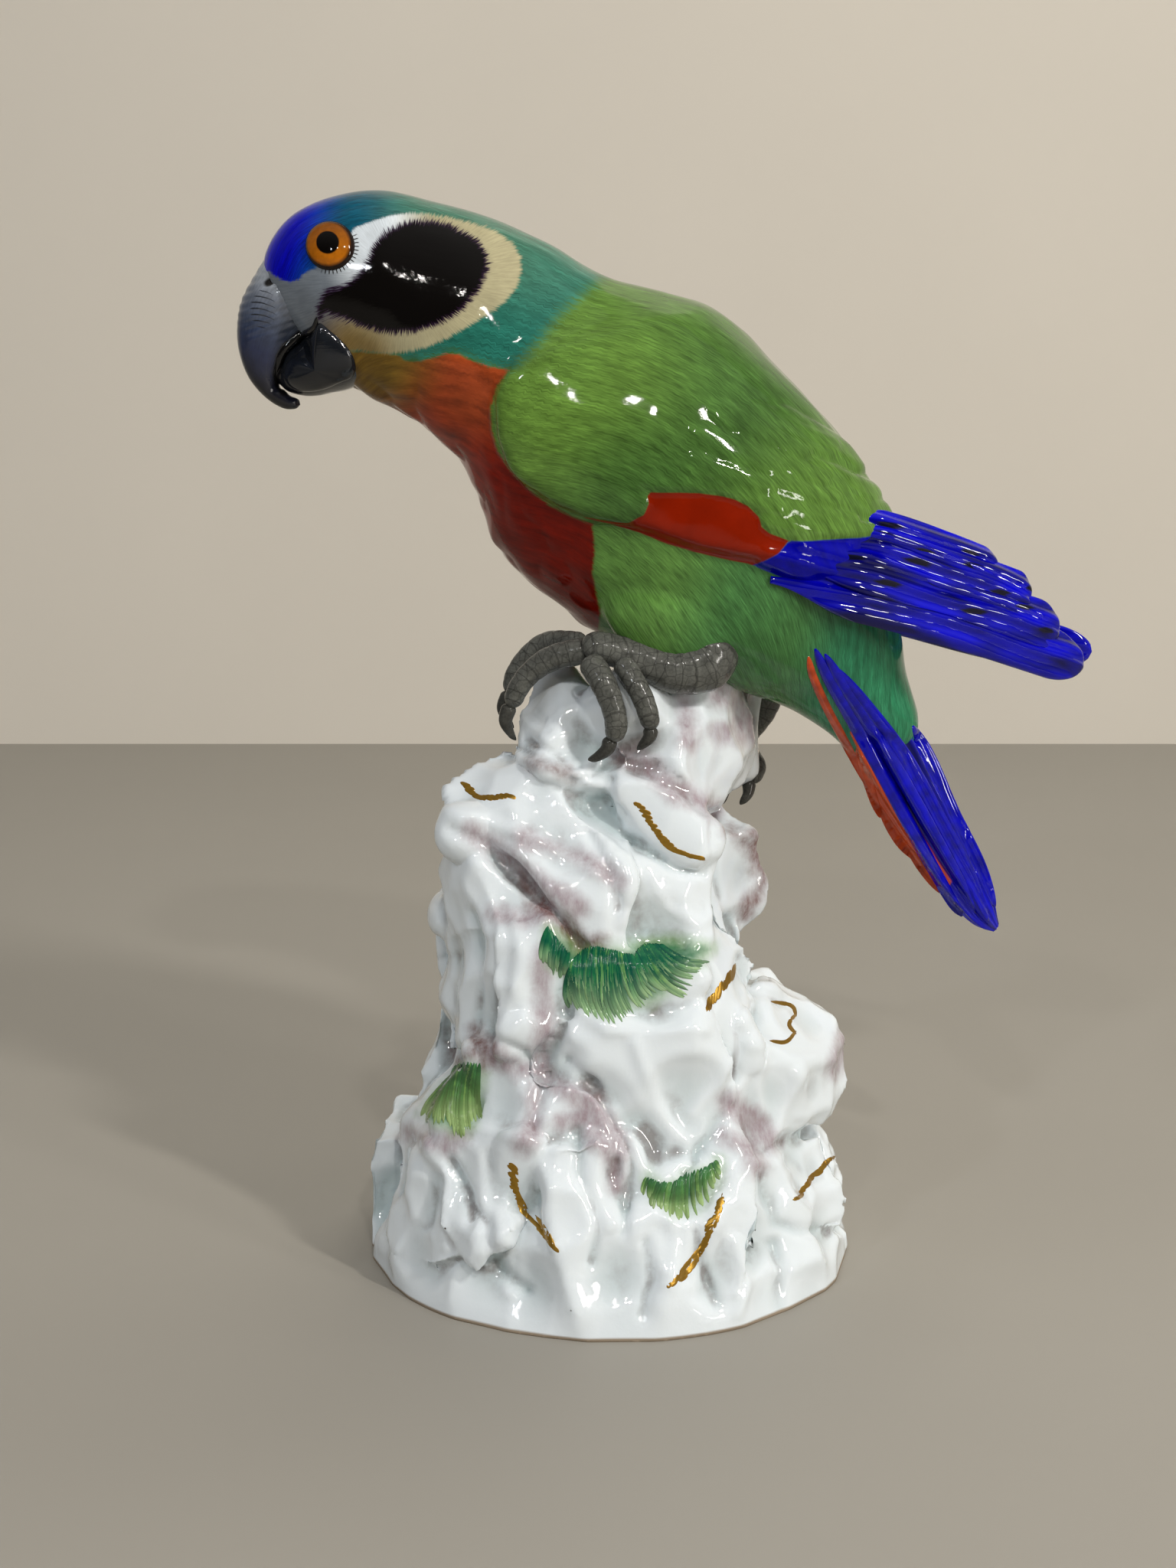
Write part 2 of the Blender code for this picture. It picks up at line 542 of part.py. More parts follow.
def fuse(name, forms, collection):
    """One closed skin over all the forms, softened as under a glaze, thinned, and ground flat below."""
    thing = bpy.data.objects.new(name, gathered(forms))
    collection.objects.link(thing)
    skin = thing.modifiers.new("skin", "REMESH")
    skin.mode = "VOXEL"
    skin.voxel_size = SKIN_VOXEL
    glaze = thing.modifiers.new("glaze", "SMOOTH")
    glaze.factor = 0.5
    glaze.iterations = 3
    bpy.context.view_layer.update()
    thing.data = as_mesh(thing)
    thing.modifiers.clear()
    thin = thing.modifiers.new("thin", "DECIMATE")
    thin.ratio = SKIN_TRIANGLES / (2 * len(thing.data.polygons))
    bpy.context.view_layer.update()
    thing.data = as_mesh(thing)
    thing.modifiers.clear()
    shape = bmesh.new()
    shape.from_mesh(thing.data)
    keep_outer_shell(shape)
    grind_foot_flat(shape)
    shape.to_mesh(thing.data)
    shape.free()
    thing.data.materials.append(porcelain())
    thing.data.shade_smooth()
    thing.data.set_sharp_from_angle(angle=np.radians(40))
    return thing


def porcelain():
    glaze = bpy.data.materials.new("glazed_porcelain")
    glaze.use_nodes = True
    shader = glaze.node_tree.nodes["Principled BSDF"]
    shader.inputs["Base Color"].default_value = PORCELAIN_COLOUR
    shader.inputs["Roughness"].default_value = 0.12
    shader.inputs["Metallic"].default_value = 0.0
    return glaze


def build():
    clear_scene()
    figurine = bpy.data.collections.new("parrot_figurine")
    forms = bpy.data.collections.new("forms")
    bpy.context.scene.collection.children.link(figurine)
    bpy.context.scene.collection.children.link(forms)
    build_rock(forms)
    build_trunk(forms)
    build_wings(forms)
    build_tail(forms)
    build_bill(forms)
    build_eyes(forms)
    build_thighs(forms)
    build_feet(forms)
    fuse("parrot_figurine", forms, figurine)
    for thing in list(forms.objects):
        bpy.data.objects.remove(thing, do_unlink=True)
    bpy.data.collections.remove(forms)


build()
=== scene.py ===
import itertools
import math

import bmesh
import bpy
import numpy as np
from mathutils import Euler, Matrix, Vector
from mathutils.bvhtree import BVHTree


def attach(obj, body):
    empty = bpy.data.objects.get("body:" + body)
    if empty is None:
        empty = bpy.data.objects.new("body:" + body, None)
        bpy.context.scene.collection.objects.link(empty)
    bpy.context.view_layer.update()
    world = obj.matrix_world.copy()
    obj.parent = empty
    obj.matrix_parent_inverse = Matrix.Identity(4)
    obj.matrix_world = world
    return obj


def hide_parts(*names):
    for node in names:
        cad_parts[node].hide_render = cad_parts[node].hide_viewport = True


# A painted porcelain parrot on a white rock. The bird faces -X and its left side faces -Y, to the camera.
# Tables are in millimetres on the original. Rock heights are from the floor, bird heights from the perch.

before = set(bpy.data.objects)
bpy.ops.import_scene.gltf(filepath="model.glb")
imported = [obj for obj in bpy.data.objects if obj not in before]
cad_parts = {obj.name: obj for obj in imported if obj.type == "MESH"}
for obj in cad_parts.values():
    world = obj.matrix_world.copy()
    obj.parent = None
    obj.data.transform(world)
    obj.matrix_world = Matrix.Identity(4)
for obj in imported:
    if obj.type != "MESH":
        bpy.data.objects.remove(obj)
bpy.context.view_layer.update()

mm = 0.001
perch = 186  # height of the perch in mm

photoCamera = {
    "place": (-0.007, -0.6715, 0.2767),
    "tilt": 79.0,  # degrees, so 11 down
    "lens": 51.98,  # mm, on a 36 mm sensor along the longer side
    "frame": (1536, 2048),
    "reach": 0.00022,  # metres that a pixel spans at the bird
}


# numbers and paths

def linear(hexColour):
    # sRGB to linear: ((c + 0.055) / 1.055) ^ 2.4, or c / 12.92 in the dark
    value = np.array([int(hexColour[k:k + 2], 16) / 255 for k in (1, 3, 5)])
    value = np.where(value > 0.04045, ((value + 0.055) / 1.055) ** 2.4, value / 12.92)
    return (*value.tolist(), 1.0)


def smoothStep(t):
    # 3t^2 - 2t^3, held to 0..1
    t = np.clip(t, 0.0, 1.0)
    return t * t * (3 - 2 * t)


def resample(table, count):
    # Catmull-Rom curve through the rows of a table, as this many rows
    table = np.asarray(table, float)
    ends = np.vstack([2 * table[0] - table[1], table, 2 * table[-1] - table[-2]])
    place = np.linspace(0, len(table) - 1, count)
    span = np.minimum(place.astype(int), len(table) - 2)
    t = (place - span)[:, None]
    a, b, c, d = (ends[span + k] for k in range(4))
    return 0.5 * (2 * b + (c - a) * t + (2 * a - 5 * b + 4 * c - d) * t**2 + (3 * b - a - 3 * c + d) * t**3)


def latticeNoise(points, cell, seed):
    # smooth noise from -1 to 1: chance values on a cubic lattice of this cell, blended by smooth steps
    chance = np.random.default_rng(seed).uniform(-1, 1, (32, 32, 32))
    place = np.asarray(points) / cell
    base = np.floor(place).astype(int)
    t = smoothStep(place - base)
    total = np.zeros(place.shape[:-1])
    for step in itertools.product((0, 1), repeat=3):
        share = np.prod(np.where(step, t, 1 - t), axis=-1)
        corner = (base + step) % 32
        total += share * chance[corner[..., 0], corner[..., 1], corner[..., 2]]
    return total


# the photograph's camera, as rays and pixels

tilt = math.radians(photoCamera["tilt"])
eye = np.array(photoCamera["place"])
ahead = np.array([0, math.sin(tilt), -math.cos(tilt)])
upward = np.array([0, math.cos(tilt), math.sin(tilt)])
frameWide, frameHigh = photoCamera["frame"]
focal = photoCamera["lens"] / 36 * frameHigh

headView = {"corner": (300, 230), "zoom": 3.733}
wingView = {"corner": (620, 340), "zoom": 2.8}
footView = {"corner": (630, 790), "zoom": 3.92}
shelfView = {"corner": (640, 1180), "zoom": 5.227}
leftView = {"corner": (540, 1340), "zoom": 4.354}
frontView = {"corner": (780, 1480), "zoom": 6.03}
rockView = {"corner": (470, 850), "zoom": 1.398}
rearView = {"corner": (600, 600), "zoom": 1.1647}
wholeView = {"corner": (0, 0), "zoom": 1.0}


def readOff(view, marks):
    # photograph pixels of marks read off a zoomed view of it
    return np.array(view["corner"]) + np.array(marks, float) / view["zoom"]


def photoPixels(points):
    # pixel = middle of the frame + focal * (right, down) / depth, with the far half mirrored to the near one
    near = points * (1, 0, 1) - np.abs(points) * (0, 1, 0)
    away = near - eye
    depth = away @ ahead
    return np.stack([frameWide / 2 + focal * away[..., 0] / depth,
                     frameHigh / 2 - focal * (away @ upward) / depth], -1)


def lineDistance(pixels, line):
    # distance in mm to the nearest stretch of an open line
    start, run = line[:-1], np.diff(line, axis=0)
    away = pixels[:, None, :] - start
    along = np.clip((away * run).sum(-1) / (run * run).sum(-1), 0, 1)
    gap = np.linalg.norm(away - along[..., None] * run, axis=-1)
    return gap.min(1) * photoCamera["reach"] / mm


def outlineDistance(pixels, outline):
    # distance in mm to a closed outline, positive inside it
    closed = np.vstack([outline, outline[:1]])
    gap = lineDistance(pixels, closed)
    x, y = pixels[:, :1], pixels[:, 1:]
    x0, y0, x1, y1 = closed[:-1, 0], closed[:-1, 1], closed[1:, 0], closed[1:, 1]
    crossed = (y0 > y) != (y1 > y)
    slope = (x1 - x0) / np.where(y1 == y0, 1e-9, y1 - y0)
    inside = (crossed & (x < x0 + (y - y0) * slope)).sum(1) % 2 == 1
    return np.where(inside, gap, -gap)


# meshes

def closedGrid(rings):
    # a skin through a stack of rings, closed round each ring and on the middle of both end rings
    count, around = rings.shape[:2]
    points = np.vstack([rings.reshape(-1, 3), rings[:1].mean((0, 1))[None], rings[-1:].mean((0, 1))[None]])
    row, col = np.meshgrid(np.arange(count - 1), np.arange(around), indexing="ij")
    after = (col + 1) % around
    quads = np.stack([row * around + col, row * around + after, (row + 1) * around + after,
                      (row + 1) * around + col], -1).reshape(-1, 4)
    k = np.arange(around)
    first = np.stack([np.full(around, count * around), (k + 1) % around, k], -1)
    last = np.stack([np.full(around, count * around + 1), (count - 1) * around + k,
                     (count - 1) * around + (k + 1) % around], -1)
    corners = points[quads]
    volume = (np.cross(corners[:, 1] - corners[:, 0], corners[:, 2] - corners[:, 0]) *
              (corners[:, 0] - points.mean(0))).sum()
    faces = [quads, first, last]
    if volume < 0:
        faces = [part[:, ::-1] for part in faces]
    return points, [face for part in faces for face in part.tolist()]


def gridPlaces(rings, along, across):
    # U along the rings and V round them for each point of a closed grid, in centimetres
    u = np.broadcast_to(along[:, None], rings.shape[:2])
    v = np.broadcast_to(across, rings.shape[:2])
    flat = np.stack([u.ravel(), v.ravel()], -1)
    ends = [[along[0], flat[:, 1].mean()], [along[-1], flat[:, 1].mean()]]
    return np.vstack([flat, ends]) * 100


def writeMesh(name, points, faces):
    mesh = bpy.data.meshes.new(name)
    mesh.from_pydata(points.tolist(), [], faces)
    mesh.shade_smooth()
    return mesh


def readPoints(mesh):
    points = np.empty(3 * len(mesh.vertices))
    mesh.vertices.foreach_get("co", points)
    return points.reshape(-1, 3)


def readNormals(mesh):
    normals = np.empty(3 * len(mesh.vertices))
    mesh.vertex_normals.foreach_get("vector", normals)
    return normals.reshape(-1, 3)


def movePoints(mesh, points):
    mesh.vertices.foreach_set("co", points.ravel())
    mesh.update()


def writeValues(mesh, name, values):
    attribute = mesh.attributes.new(name, "FLOAT", "POINT")
    attribute.data.foreach_set("value", np.asarray(values, np.float32).ravel())


def writeColours(mesh, name, colours):
    attribute = mesh.attributes.new(name, "FLOAT_COLOR", "POINT")
    attribute.data.foreach_set("color", np.asarray(colours, np.float32).ravel())


def writeFlow(mesh, places):
    # the "flow" UV map: U along the feathers or the limb, V across, both in centimetres
    corner = np.empty(len(mesh.loops), int)
    mesh.loops.foreach_get("vertex_index", corner)
    layer = mesh.uv_layers.new(name="flow")
    layer.data.foreach_set("uv", places[corner].astype(np.float32).ravel())


def neighbourMean(mesh, values, rounds):
    # each value becomes the mean of its neighbours' values, this many times
    edges = np.empty(2 * len(mesh.edges), int)
    mesh.edges.foreach_get("vertices", edges)
    a, b = edges.reshape(-1, 2).T
    size = len(mesh.vertices)
    count = np.maximum(np.bincount(a, minlength=size) + np.bincount(b, minlength=size), 1)
    values = values.reshape(size, -1)
    for _ in range(rounds):
        values = np.stack([(np.bincount(a, column[b], size) + np.bincount(b, column[a], size)) / count
                           for column in values.T], -1)
    return values.squeeze()


def wornMesh(thing):
    # the mesh as its modifiers leave it
    bpy.context.view_layer.update()
    graph = bpy.context.evaluated_depsgraph_get()
    return bpy.data.meshes.new_from_object(thing.evaluated_get(graph), depsgraph=graph)


def fuseForms(name, forms, cell, softening):
    # one closed skin over all the forms, as slip joins fuse the casts: voxel remesh, then smoothing
    whole = bmesh.new()
    for points, faces in forms:
        single = bmesh.new()
        single.from_mesh(writeMesh(name, np.asarray(points), faces))
        bmesh.ops.recalc_face_normals(single, faces=single.faces)
        mesh = bpy.data.meshes.new(name)
        single.to_mesh(mesh)
        single.free()
        whole.from_mesh(mesh)
    mesh = bpy.data.meshes.new(name)
    whole.to_mesh(mesh)
    whole.free()
    thing = bpy.data.objects.new(name, mesh)
    bpy.context.scene.collection.objects.link(thing)
    skin = thing.modifiers.new("skin", "REMESH")
    skin.mode = "VOXEL"
    skin.voxel_size = cell
    skin.use_smooth_shade = True
    glaze = thing.modifiers.new("glaze", "SMOOTH")
    glaze.factor = 0.5
    glaze.iterations = softening
    fused = wornMesh(thing)
    bpy.data.objects.remove(thing, do_unlink=True)
    return fused


def keepOuterShell(mesh):
    # drops the shells round hollows that nothing can see into
    edges = np.empty(2 * len(mesh.edges), int)
    mesh.edges.foreach_get("vertices", edges)
    a, b = edges.reshape(-1, 2).T
    label = np.arange(len(mesh.vertices))
    while True:
        low = label.copy()
        np.minimum.at(low, a, label[b])
        np.minimum.at(low, b, label[a])
        low = low[low]
        if (low == label).all():
            break
        label = low
    shape = bmesh.new()
    shape.from_mesh(mesh)
    shape.verts.ensure_lookup_table()
    main = np.bincount(label).argmax()
    spare = [shape.verts[k] for k in np.flatnonzero(label != main)]
    bmesh.ops.delete(shape, geom=spare, context="VERTS")
    shape.to_mesh(mesh)
    shape.free()


def placePiece(name, mesh, material):
    piece = bpy.data.objects.new(name, mesh)
    bpy.context.scene.collection.objects.link(piece)
    mesh.materials.clear()
    mesh.materials.append(material)
    mesh.shade_smooth()
    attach(piece, "root")
    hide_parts("parrot_figurine")
    return piece


# materials

def addNode(tree, kind, inputs=None, out=0, **settings):
    # inputs are numbers, hex colours or other nodes' outputs, and settings are the node's own properties
    node = tree.nodes.new("ShaderNode" + kind)
    for key, value in settings.items():
        setattr(node, key, value)
    for key, value in (inputs or {}).items():
        if isinstance(value, bpy.types.NodeSocket):
            tree.links.new(value, node.inputs[key])
        else:
            node.inputs[key].default_value = linear(value) if isinstance(value, str) else value
    return node.outputs[out] if node.outputs else None


def newMaterial(name):
    material = bpy.data.materials.new(name)
    material.use_nodes = True
    material.node_tree.nodes.clear()
    return material, material.node_tree


def layOver(tree, below, colour, value, low, high, most=1.0, blend="LINEAR"):
    # paint that grows with a value, from none at low to this much at high
    mask = addNode(tree, "MapRange", {"Value": value, "From Min": low, "From Max": high, "To Max": most},
                   interpolation_type=blend)
    return addNode(tree, "Mix", {0: mask, 6: below, 7: colour}, 2, data_type="RGBA")


def paintLayer(tree, below, colour, edge, softness, ragged, brush):
    # paint that is full inside an edge distance and fades over softness; brush noise makes the edge ragged
    value = addNode(tree, "Attribute", out="Fac", attribute_name=edge)
    value = addNode(tree, "Math", {0: brush, 1: ragged, 2: value}, operation="MULTIPLY_ADD")
    return layOver(tree, below, colour, value, -softness, softness, blend="SMOOTHSTEP")


def brushNoise(tree, length, width, seed, detail):
    # brush strokes of this length and width in mm along the flow, as noise about 0
    drawn = addNode(tree, "Mapping", {"Vector": addNode(tree, "UVMap", uv_map="flow"),
                                      "Location": (seed, seed, 0), "Scale": (10 / length, 10 / width, 1)})
    noise = addNode(tree, "TexNoise", {"Vector": drawn, "Scale": 1.0, "Detail": detail, "Roughness": 0.55},
                    noise_dimensions="2D")
    return addNode(tree, "Math", {0: noise, 1: 0.5}, operation="SUBTRACT")


def cloudNoise(tree, scale, detail, roughness=0.5, stretch=(1, 1, 1)):
    # clouds over the piece, about this many to a metre, as noise about 0
    place = addNode(tree, "Mapping", {"Vector": addNode(tree, "TexCoord", out="Object"), "Scale": stretch})
    noise = addNode(tree, "TexNoise", {"Vector": place, "Scale": scale, "Detail": detail,
                                       "Roughness": roughness})
    return addNode(tree, "Math", {0: noise, 1: 0.5}, operation="SUBTRACT")


def shade(tree, colour, amount, strength):
    # colour * (1 + strength * amount), so that light and dark strokes keep their hue
    gain = addNode(tree, "Math", {0: amount, 1: strength, 2: 1.0}, operation="MULTIPLY_ADD")
    ground = linear(colour)[:3] if isinstance(colour, str) else colour
    return addNode(tree, "VectorMath", {0: ground, "Scale": gain}, operation="SCALE")


def glaze(tree, colour, height, relief, gloss, mirror=0.17, extra=None):
    # fired clear glaze: hard, colourless and mirror smooth over the paint, with the brushwork felt below it
    swell = cloudNoise(tree, 130.0, 1.0)
    both = addNode(tree, "Math", {0: swell, 1: 0.8, 2: height}, operation="MULTIPLY_ADD")
    bump = addNode(tree, "Bump", {"Height": both, "Distance": relief * mm, "Strength": 1.0})
    shader = addNode(tree, "BsdfPrincipled", {
        "Base Color": colour, "Roughness": gloss, "IOR": 1.5, "Specular IOR Level": mirror,
        "Coat Weight": 0.06, "Coat Roughness": 0.02, "Coat IOR": 1.5, "Normal": bump, **(extra or {})})
    addNode(tree, "OutputMaterial", {"Surface": shader})


def skinTree(*meshes):
    # the meshes as one surface for casting rays on
    points, faces, base = [], [], 0
    for mesh in meshes:
        points += readPoints(mesh).tolist()
        faces += [[base + corner for corner in face.vertices] for face in mesh.polygons]
        base = len(points)
    return BVHTree.FromPolygons(points, faces)


def castOn(tree, pixels):
    # where the photograph's rays through these pixels meet a surface, and its normals there; a ray that
    # misses takes the depth and normal between its neighbours'
    rays = (ahead + (pixels[..., :1] - frameWide / 2) / focal * (1, 0, 0)
            + (frameHigh / 2 - pixels[..., 1:]) / focal * upward).reshape(-1, 3)
    hits = [tree.ray_cast(Vector(eye), Vector(ray)) for ray in rays]
    found = np.array([k for k, hit in enumerate(hits) if hit[0] is not None])
    depth = np.array([(np.array(hits[k][0]) - eye) @ ahead for k in found])
    every = np.arange(len(rays))
    skin = eye + rays * np.interp(every, found, depth)[:, None]
    normal = np.array([hits[k][1] for k in found])
    normal = np.stack([np.interp(every, found, part) for part in normal.T], -1)
    return skin.reshape(*pixels.shape[:-1], 3), normal.reshape(*pixels.shape[:-1], 3)


# the rock

grass = {"width": 1.45, "proud": 0.42, "deep": "#06493a", "mid": "#2a7a48", "pale": "#a9c796",
         "lemon": "#76a35a", "yellow": "#9aa83e"}
rock = {
    "baseRadius": 74,
    "footSink": 6,  # how far the raw form reaches below the floor before its foot is ground flat
    "cell": 1.15 * mm,
    "softening": 3,
    "faceLap": 1.10,  # how far each hewn face grows over its neighbours
    "chip": (17, 17, 25),
    "chipTilt": (0.24, 0.24, 0.15),
    "chipTop": 2.0,  # how far the facets may stand out
    "scoop": 0.021,
    "backBands": [4, 32, 54, 82, 112, 140, 166],
    "backFaces": 5,
    "backOverlap": 4,
    "backProud": (0.03, 0.17),
    "backTilt": 0.05,
    "glazeWhite": "#dde5e9",
    "pooledGlazeAndShade": "#b4c2c4",
    "mauve": "#84606a",
    "umber": "#642f22",
    "creaseDirtAndShade": "#5f4742",
    "creaseDarkening": 0.6,  # how much of the dirt and painted shade in the creases shows
    "speck": "#3b322b",
    "bareClay": "#8d7f6c",
}
heart = np.array([  # height, x of the middle, half size along X, half size along Y
    (0, 0, 74, 74), (10, 0, 72.5, 72.5), (26, 0, 67, 67), (40, -1, 61, 59), (50, -1, 54, 54),
    (60, -1, 47, 50),
    (80, -3, 43, 46), (104, -6, 43, 42), (122, -7, 38, 38), (138, -4, 33, 33), (154, 5, 27, 27),
    (170, 10, 24, 22), (181, 12, 18, 16),
])
hewnFaces = [  # outer corners of the wedges that show from the front
    [(-19, -12, 182), (-13, -12, 182), (-9, -16, 177), (-5, -22, 168), (-4, -28, 160), (-22, -14, 177),
     (-27, -16, 169), (-29, -18, 162), (-19, -26, 171), (-11, -26, 175), (-21, -30, 161)],
    [(-29, -20, 160), (-20, -34, 158), (-8, -36, 154), (2, -32, 150), (-14, -30, 146), (2, -30, 160)],
    [(-31, -14, 159), (-47, -20, 147), (-45, -26, 140), (-29, -36, 141), (-24, -42, 133), (-14, -46, 122),
     (-5, -48, 108), (3, -48, 110), (3, -44, 129), (-5, -40, 140), (-15, -36, 148), (-22, -30, 153)],
    [(-45, -24, 133), (-40, -34, 131), (-20, -44, 117), (-33, -46, 112), (-51, -10, 117),
     (-51, -14, 102), (-44, -34, 110), (-46, -4, 130)],
    [(-33, -47, 113), (-19, -48, 115), (-14, -50, 107), (-14, -50, 87), (-21, -52, 83), (-33, -50, 87)],
    [(-50, -14, 102), (-43, -34, 108), (-35, -43, 109), (-35, -43, 82), (-42, -37, 79), (-49, -22, 69),
     (-50, -6, 80)],
    [(-12, -47, 109), (11, -44, 109), (23, -42, 105), (25, -46, 96), (20, -50, 89), (7, -52, 87),
     (-9, -52, 87)],
    [(0, -38, 134), (29, -34, 129), (31, -33, 114), (28, -40, 109), (11, -44, 108), (3, -46, 109),
     (3, -42, 129)],
    [(23, -44, 105), (31, -34, 115), (42, -24, 96), (41, -28, 84), (36, -40, 77), (23, -48, 80),
     (23, -48, 94)],
    [(-12, -52, 86), (22, -52, 81), (24, -48, 92), (34, -46, 65), (26, -50, 46), (18, -52, 42),
     (9, -54, 46),
     (-1, -54, 66)],
    [(33, 4, 138), (30, -12, 131), (43, -2, 131), (46, 2, 116), (44, 2, 108), (38, 0, 97), (32, -14, 109),
     (38, 16, 126), (36, 18, 104)],
    [(39, -36, 75), (43, -20, 88), (61, -6, 78), (72, -4, 66), (72, -6, 54), (64, -14, 45), (54, -30, 66),
     (52, -34, 50), (43, -40, 47), (34, -44, 60), (50, 18, 80), (64, 18, 60)],
    [(39, -42, 48), (64, -16, 39), (68, -18, 28), (70, -22, 14), (43, -54, 22), (43, -50, 35)],
    [(32, -46, 58), (39, -48, 49), (42, -58, 29), (35, -64, 12), (11, -69, 12), (6, -62, 37), (9, -58, 44)],
    [(-22, -54, 70), (-7, -56, 67), (0, -56, 62), (3, -56, 51), (-5, -58, 53), (-22, -57, 49),
     (-24, -54, 52)],
    [(-23, -58, 49), (-15, -62, 52), (-5, -62, 54), (0, -60, 44), (2, -64, 31), (-7, -69, 15),
     (-16, -69, 27),
     (-17, -66, 41)],
    [(-36, -44, 80), (-24, -50, 78), (-22, -54, 71), (-24, -55, 51), (-35, -54, 46), (-39, -50, 46),
     (-37, -46, 59)],
    [(-47, -20, 61), (-60, -14, 45), (-64, -16, 37), (-56, -38, 43), (-48, -43, 52), (-38, -46, 52),
     (-39, -40, 61), (-46, 14, 60), (-58, 18, 44)],
    [(-64, -18, 37), (-55, -41, 44), (-46, -48, 46), (-42, -59, 22), (-54, -52, 14), (-67, -28, 14)],
    [(-48, -44, 51), (-35, -54, 47), (-29, -64, 31), (-39, -62, 17), (-51, -54, 28)],
    [(18, -34, 161), (27, -32, 147), (42, -2, 167), (42, 0, 160), (38, -2, 152), (35, -4, 143),
     (28, -18, 139), (3, -32, 161), (0, -24, 171), (32, -16, 173), (22, -26, 170), (34, -8, 186),
     (8, -12, 182), (41, 14, 180), (6, 18, 176), (40, 18, 150), (4, 26, 150)],
]
lumps = [  # centre, half sizes, turns about X, Y and Z
    ((3, -25, 172), (13, 11, 12), (0, 0, 0)),
    ((38, 19, 163), (9, 10, 22), (0, 0, 0)),
    ((14.5, -33, 144), (20.5, 9.5, 11.5), (-10, 40, 0)),
    ((-50, -6, 107), (7, 11, 8), (0, 20, 0)),
    ((4, -46, 98), (24, 6.5, 11), (-6, 0, 2)),
    ((-45, -39, 60), (7, 5, 12), (-20, 20, -30)),
    ((20, -56, 42), (11, 6, 7), (-24, -8, 10)),
    ((-9, -46, 76), (13, 7, 14), (0, 30, 0)),
    ((-26, -48, 82), (9, 6, 9), (0, 0, 0)),
    ((-41, -28, 137), (9, 7, 8), (0, 0, 0)),
    ((-26, -55, 45), (9, 6, 13), (0, 10, 0)),
    ((33, -38, 76), (9, 4, 12), (0, -20, 0)),
    ((-36, -40, 70), (7, 6, 15), (0, 0, 0)),
    ((2, -56, 45), (10, 6, 13), (0, 0, 0)),
]
ridgeLines = [readOff(rockView, marks) for marks in (
    [(170, 300), (250, 318), (330, 345), (410, 395), (480, 440)],
    [(380, 640), (450, 690), (530, 690), (620, 690)],
    [(390, 760), (425, 810), (450, 860), (470, 900)],
    [(500, 710), (520, 770), (545, 840), (600, 910)],
    [(700, 620), (692, 700), (655, 790), (615, 850)],
    [(700, 712), (780, 752), (860, 742), (892, 700)],
    [(800, 752), (798, 800), (803, 850)],
    [(732, 740), (728, 790), (742, 835)],
    [(280, 480), (292, 540), (285, 620), (250, 700)],
    [(60, 890), (110, 842), (180, 868), (250, 880), (335, 902)],
    [(355, 905), (420, 885), (480, 925)],
    [(560, 1000), (574, 1080), (562, 1160)],
    [(652, 1000), (640, 1080), (600, 1160)],
    [(250, 1030), (272, 1100), (265, 1170)],
    [(130, 900), (150, 960), (140, 1030), (150, 1090)],
    [(300, 120), (340, 165), (385, 150)],
    [(530, 420), (560, 470), (620, 500), (660, 470)],
    [(480, 330), (490, 420), (482, 500)],
    [(700, 330), (735, 345), (748, 410), (720, 500)],
    [(60, 1000), (75, 1080), (65, 1150)],
    [(790, 950), (830, 985), (880, 975)],
    [(690, 1080), (700, 1150), (690, 1210)],
)]
creaseLines = [readOff(rockView, marks) for marks in (
    [(285, 175), (330, 200), (390, 238), (425, 232), (445, 205)],
    [(305, 165), (345, 190), (380, 212), (405, 205)],
    [(455, 235), (450, 285), (495, 348), (565, 392), (625, 402), (652, 362), (645, 300)],
    [(480, 198), (530, 215), (600, 258), (645, 300)],
    [(170, 330), (230, 352), (280, 392), (322, 442), (372, 492), (402, 540)],
    [(645, 300), (648, 400), (660, 480), (690, 530)],
    [(370, 590), (377, 660), (350, 720), (322, 762)],
    [(165, 560), (168, 640), (160, 720)],
    [(197, 480), (216, 580), (205, 700)],
    [(240, 700), (300, 740), (332, 800), (318, 880)],
    [(380, 750), (430, 800), (470, 870), (465, 960)],
    [(672, 830), (640, 890), (590, 945)],
    [(690, 700), (680, 760), (667, 830)],
    [(735, 960), (762, 1040), (860, 1062), (888, 1042)],
    [(100, 900), (130, 960), (112, 1050)],
    [(190, 1000), (228, 1050), (240, 1110), (290, 1165)],
    [(160, 930), (192, 990), (200, 1040)],
    [(395, 880), (402, 960), (432, 1040), (425, 1110)],
    [(480, 880), (500, 960), (480, 1060)],
    [(520, 1080), (535, 1150), (520, 1210)],
    [(610, 1060), (625, 1130), (650, 1190)],
    [(760, 1080), (780, 1140), (770, 1190)],
    [(420, 330), (455, 400), (470, 470)],
    [(700, 560), (720, 620), (770, 640)],
)]
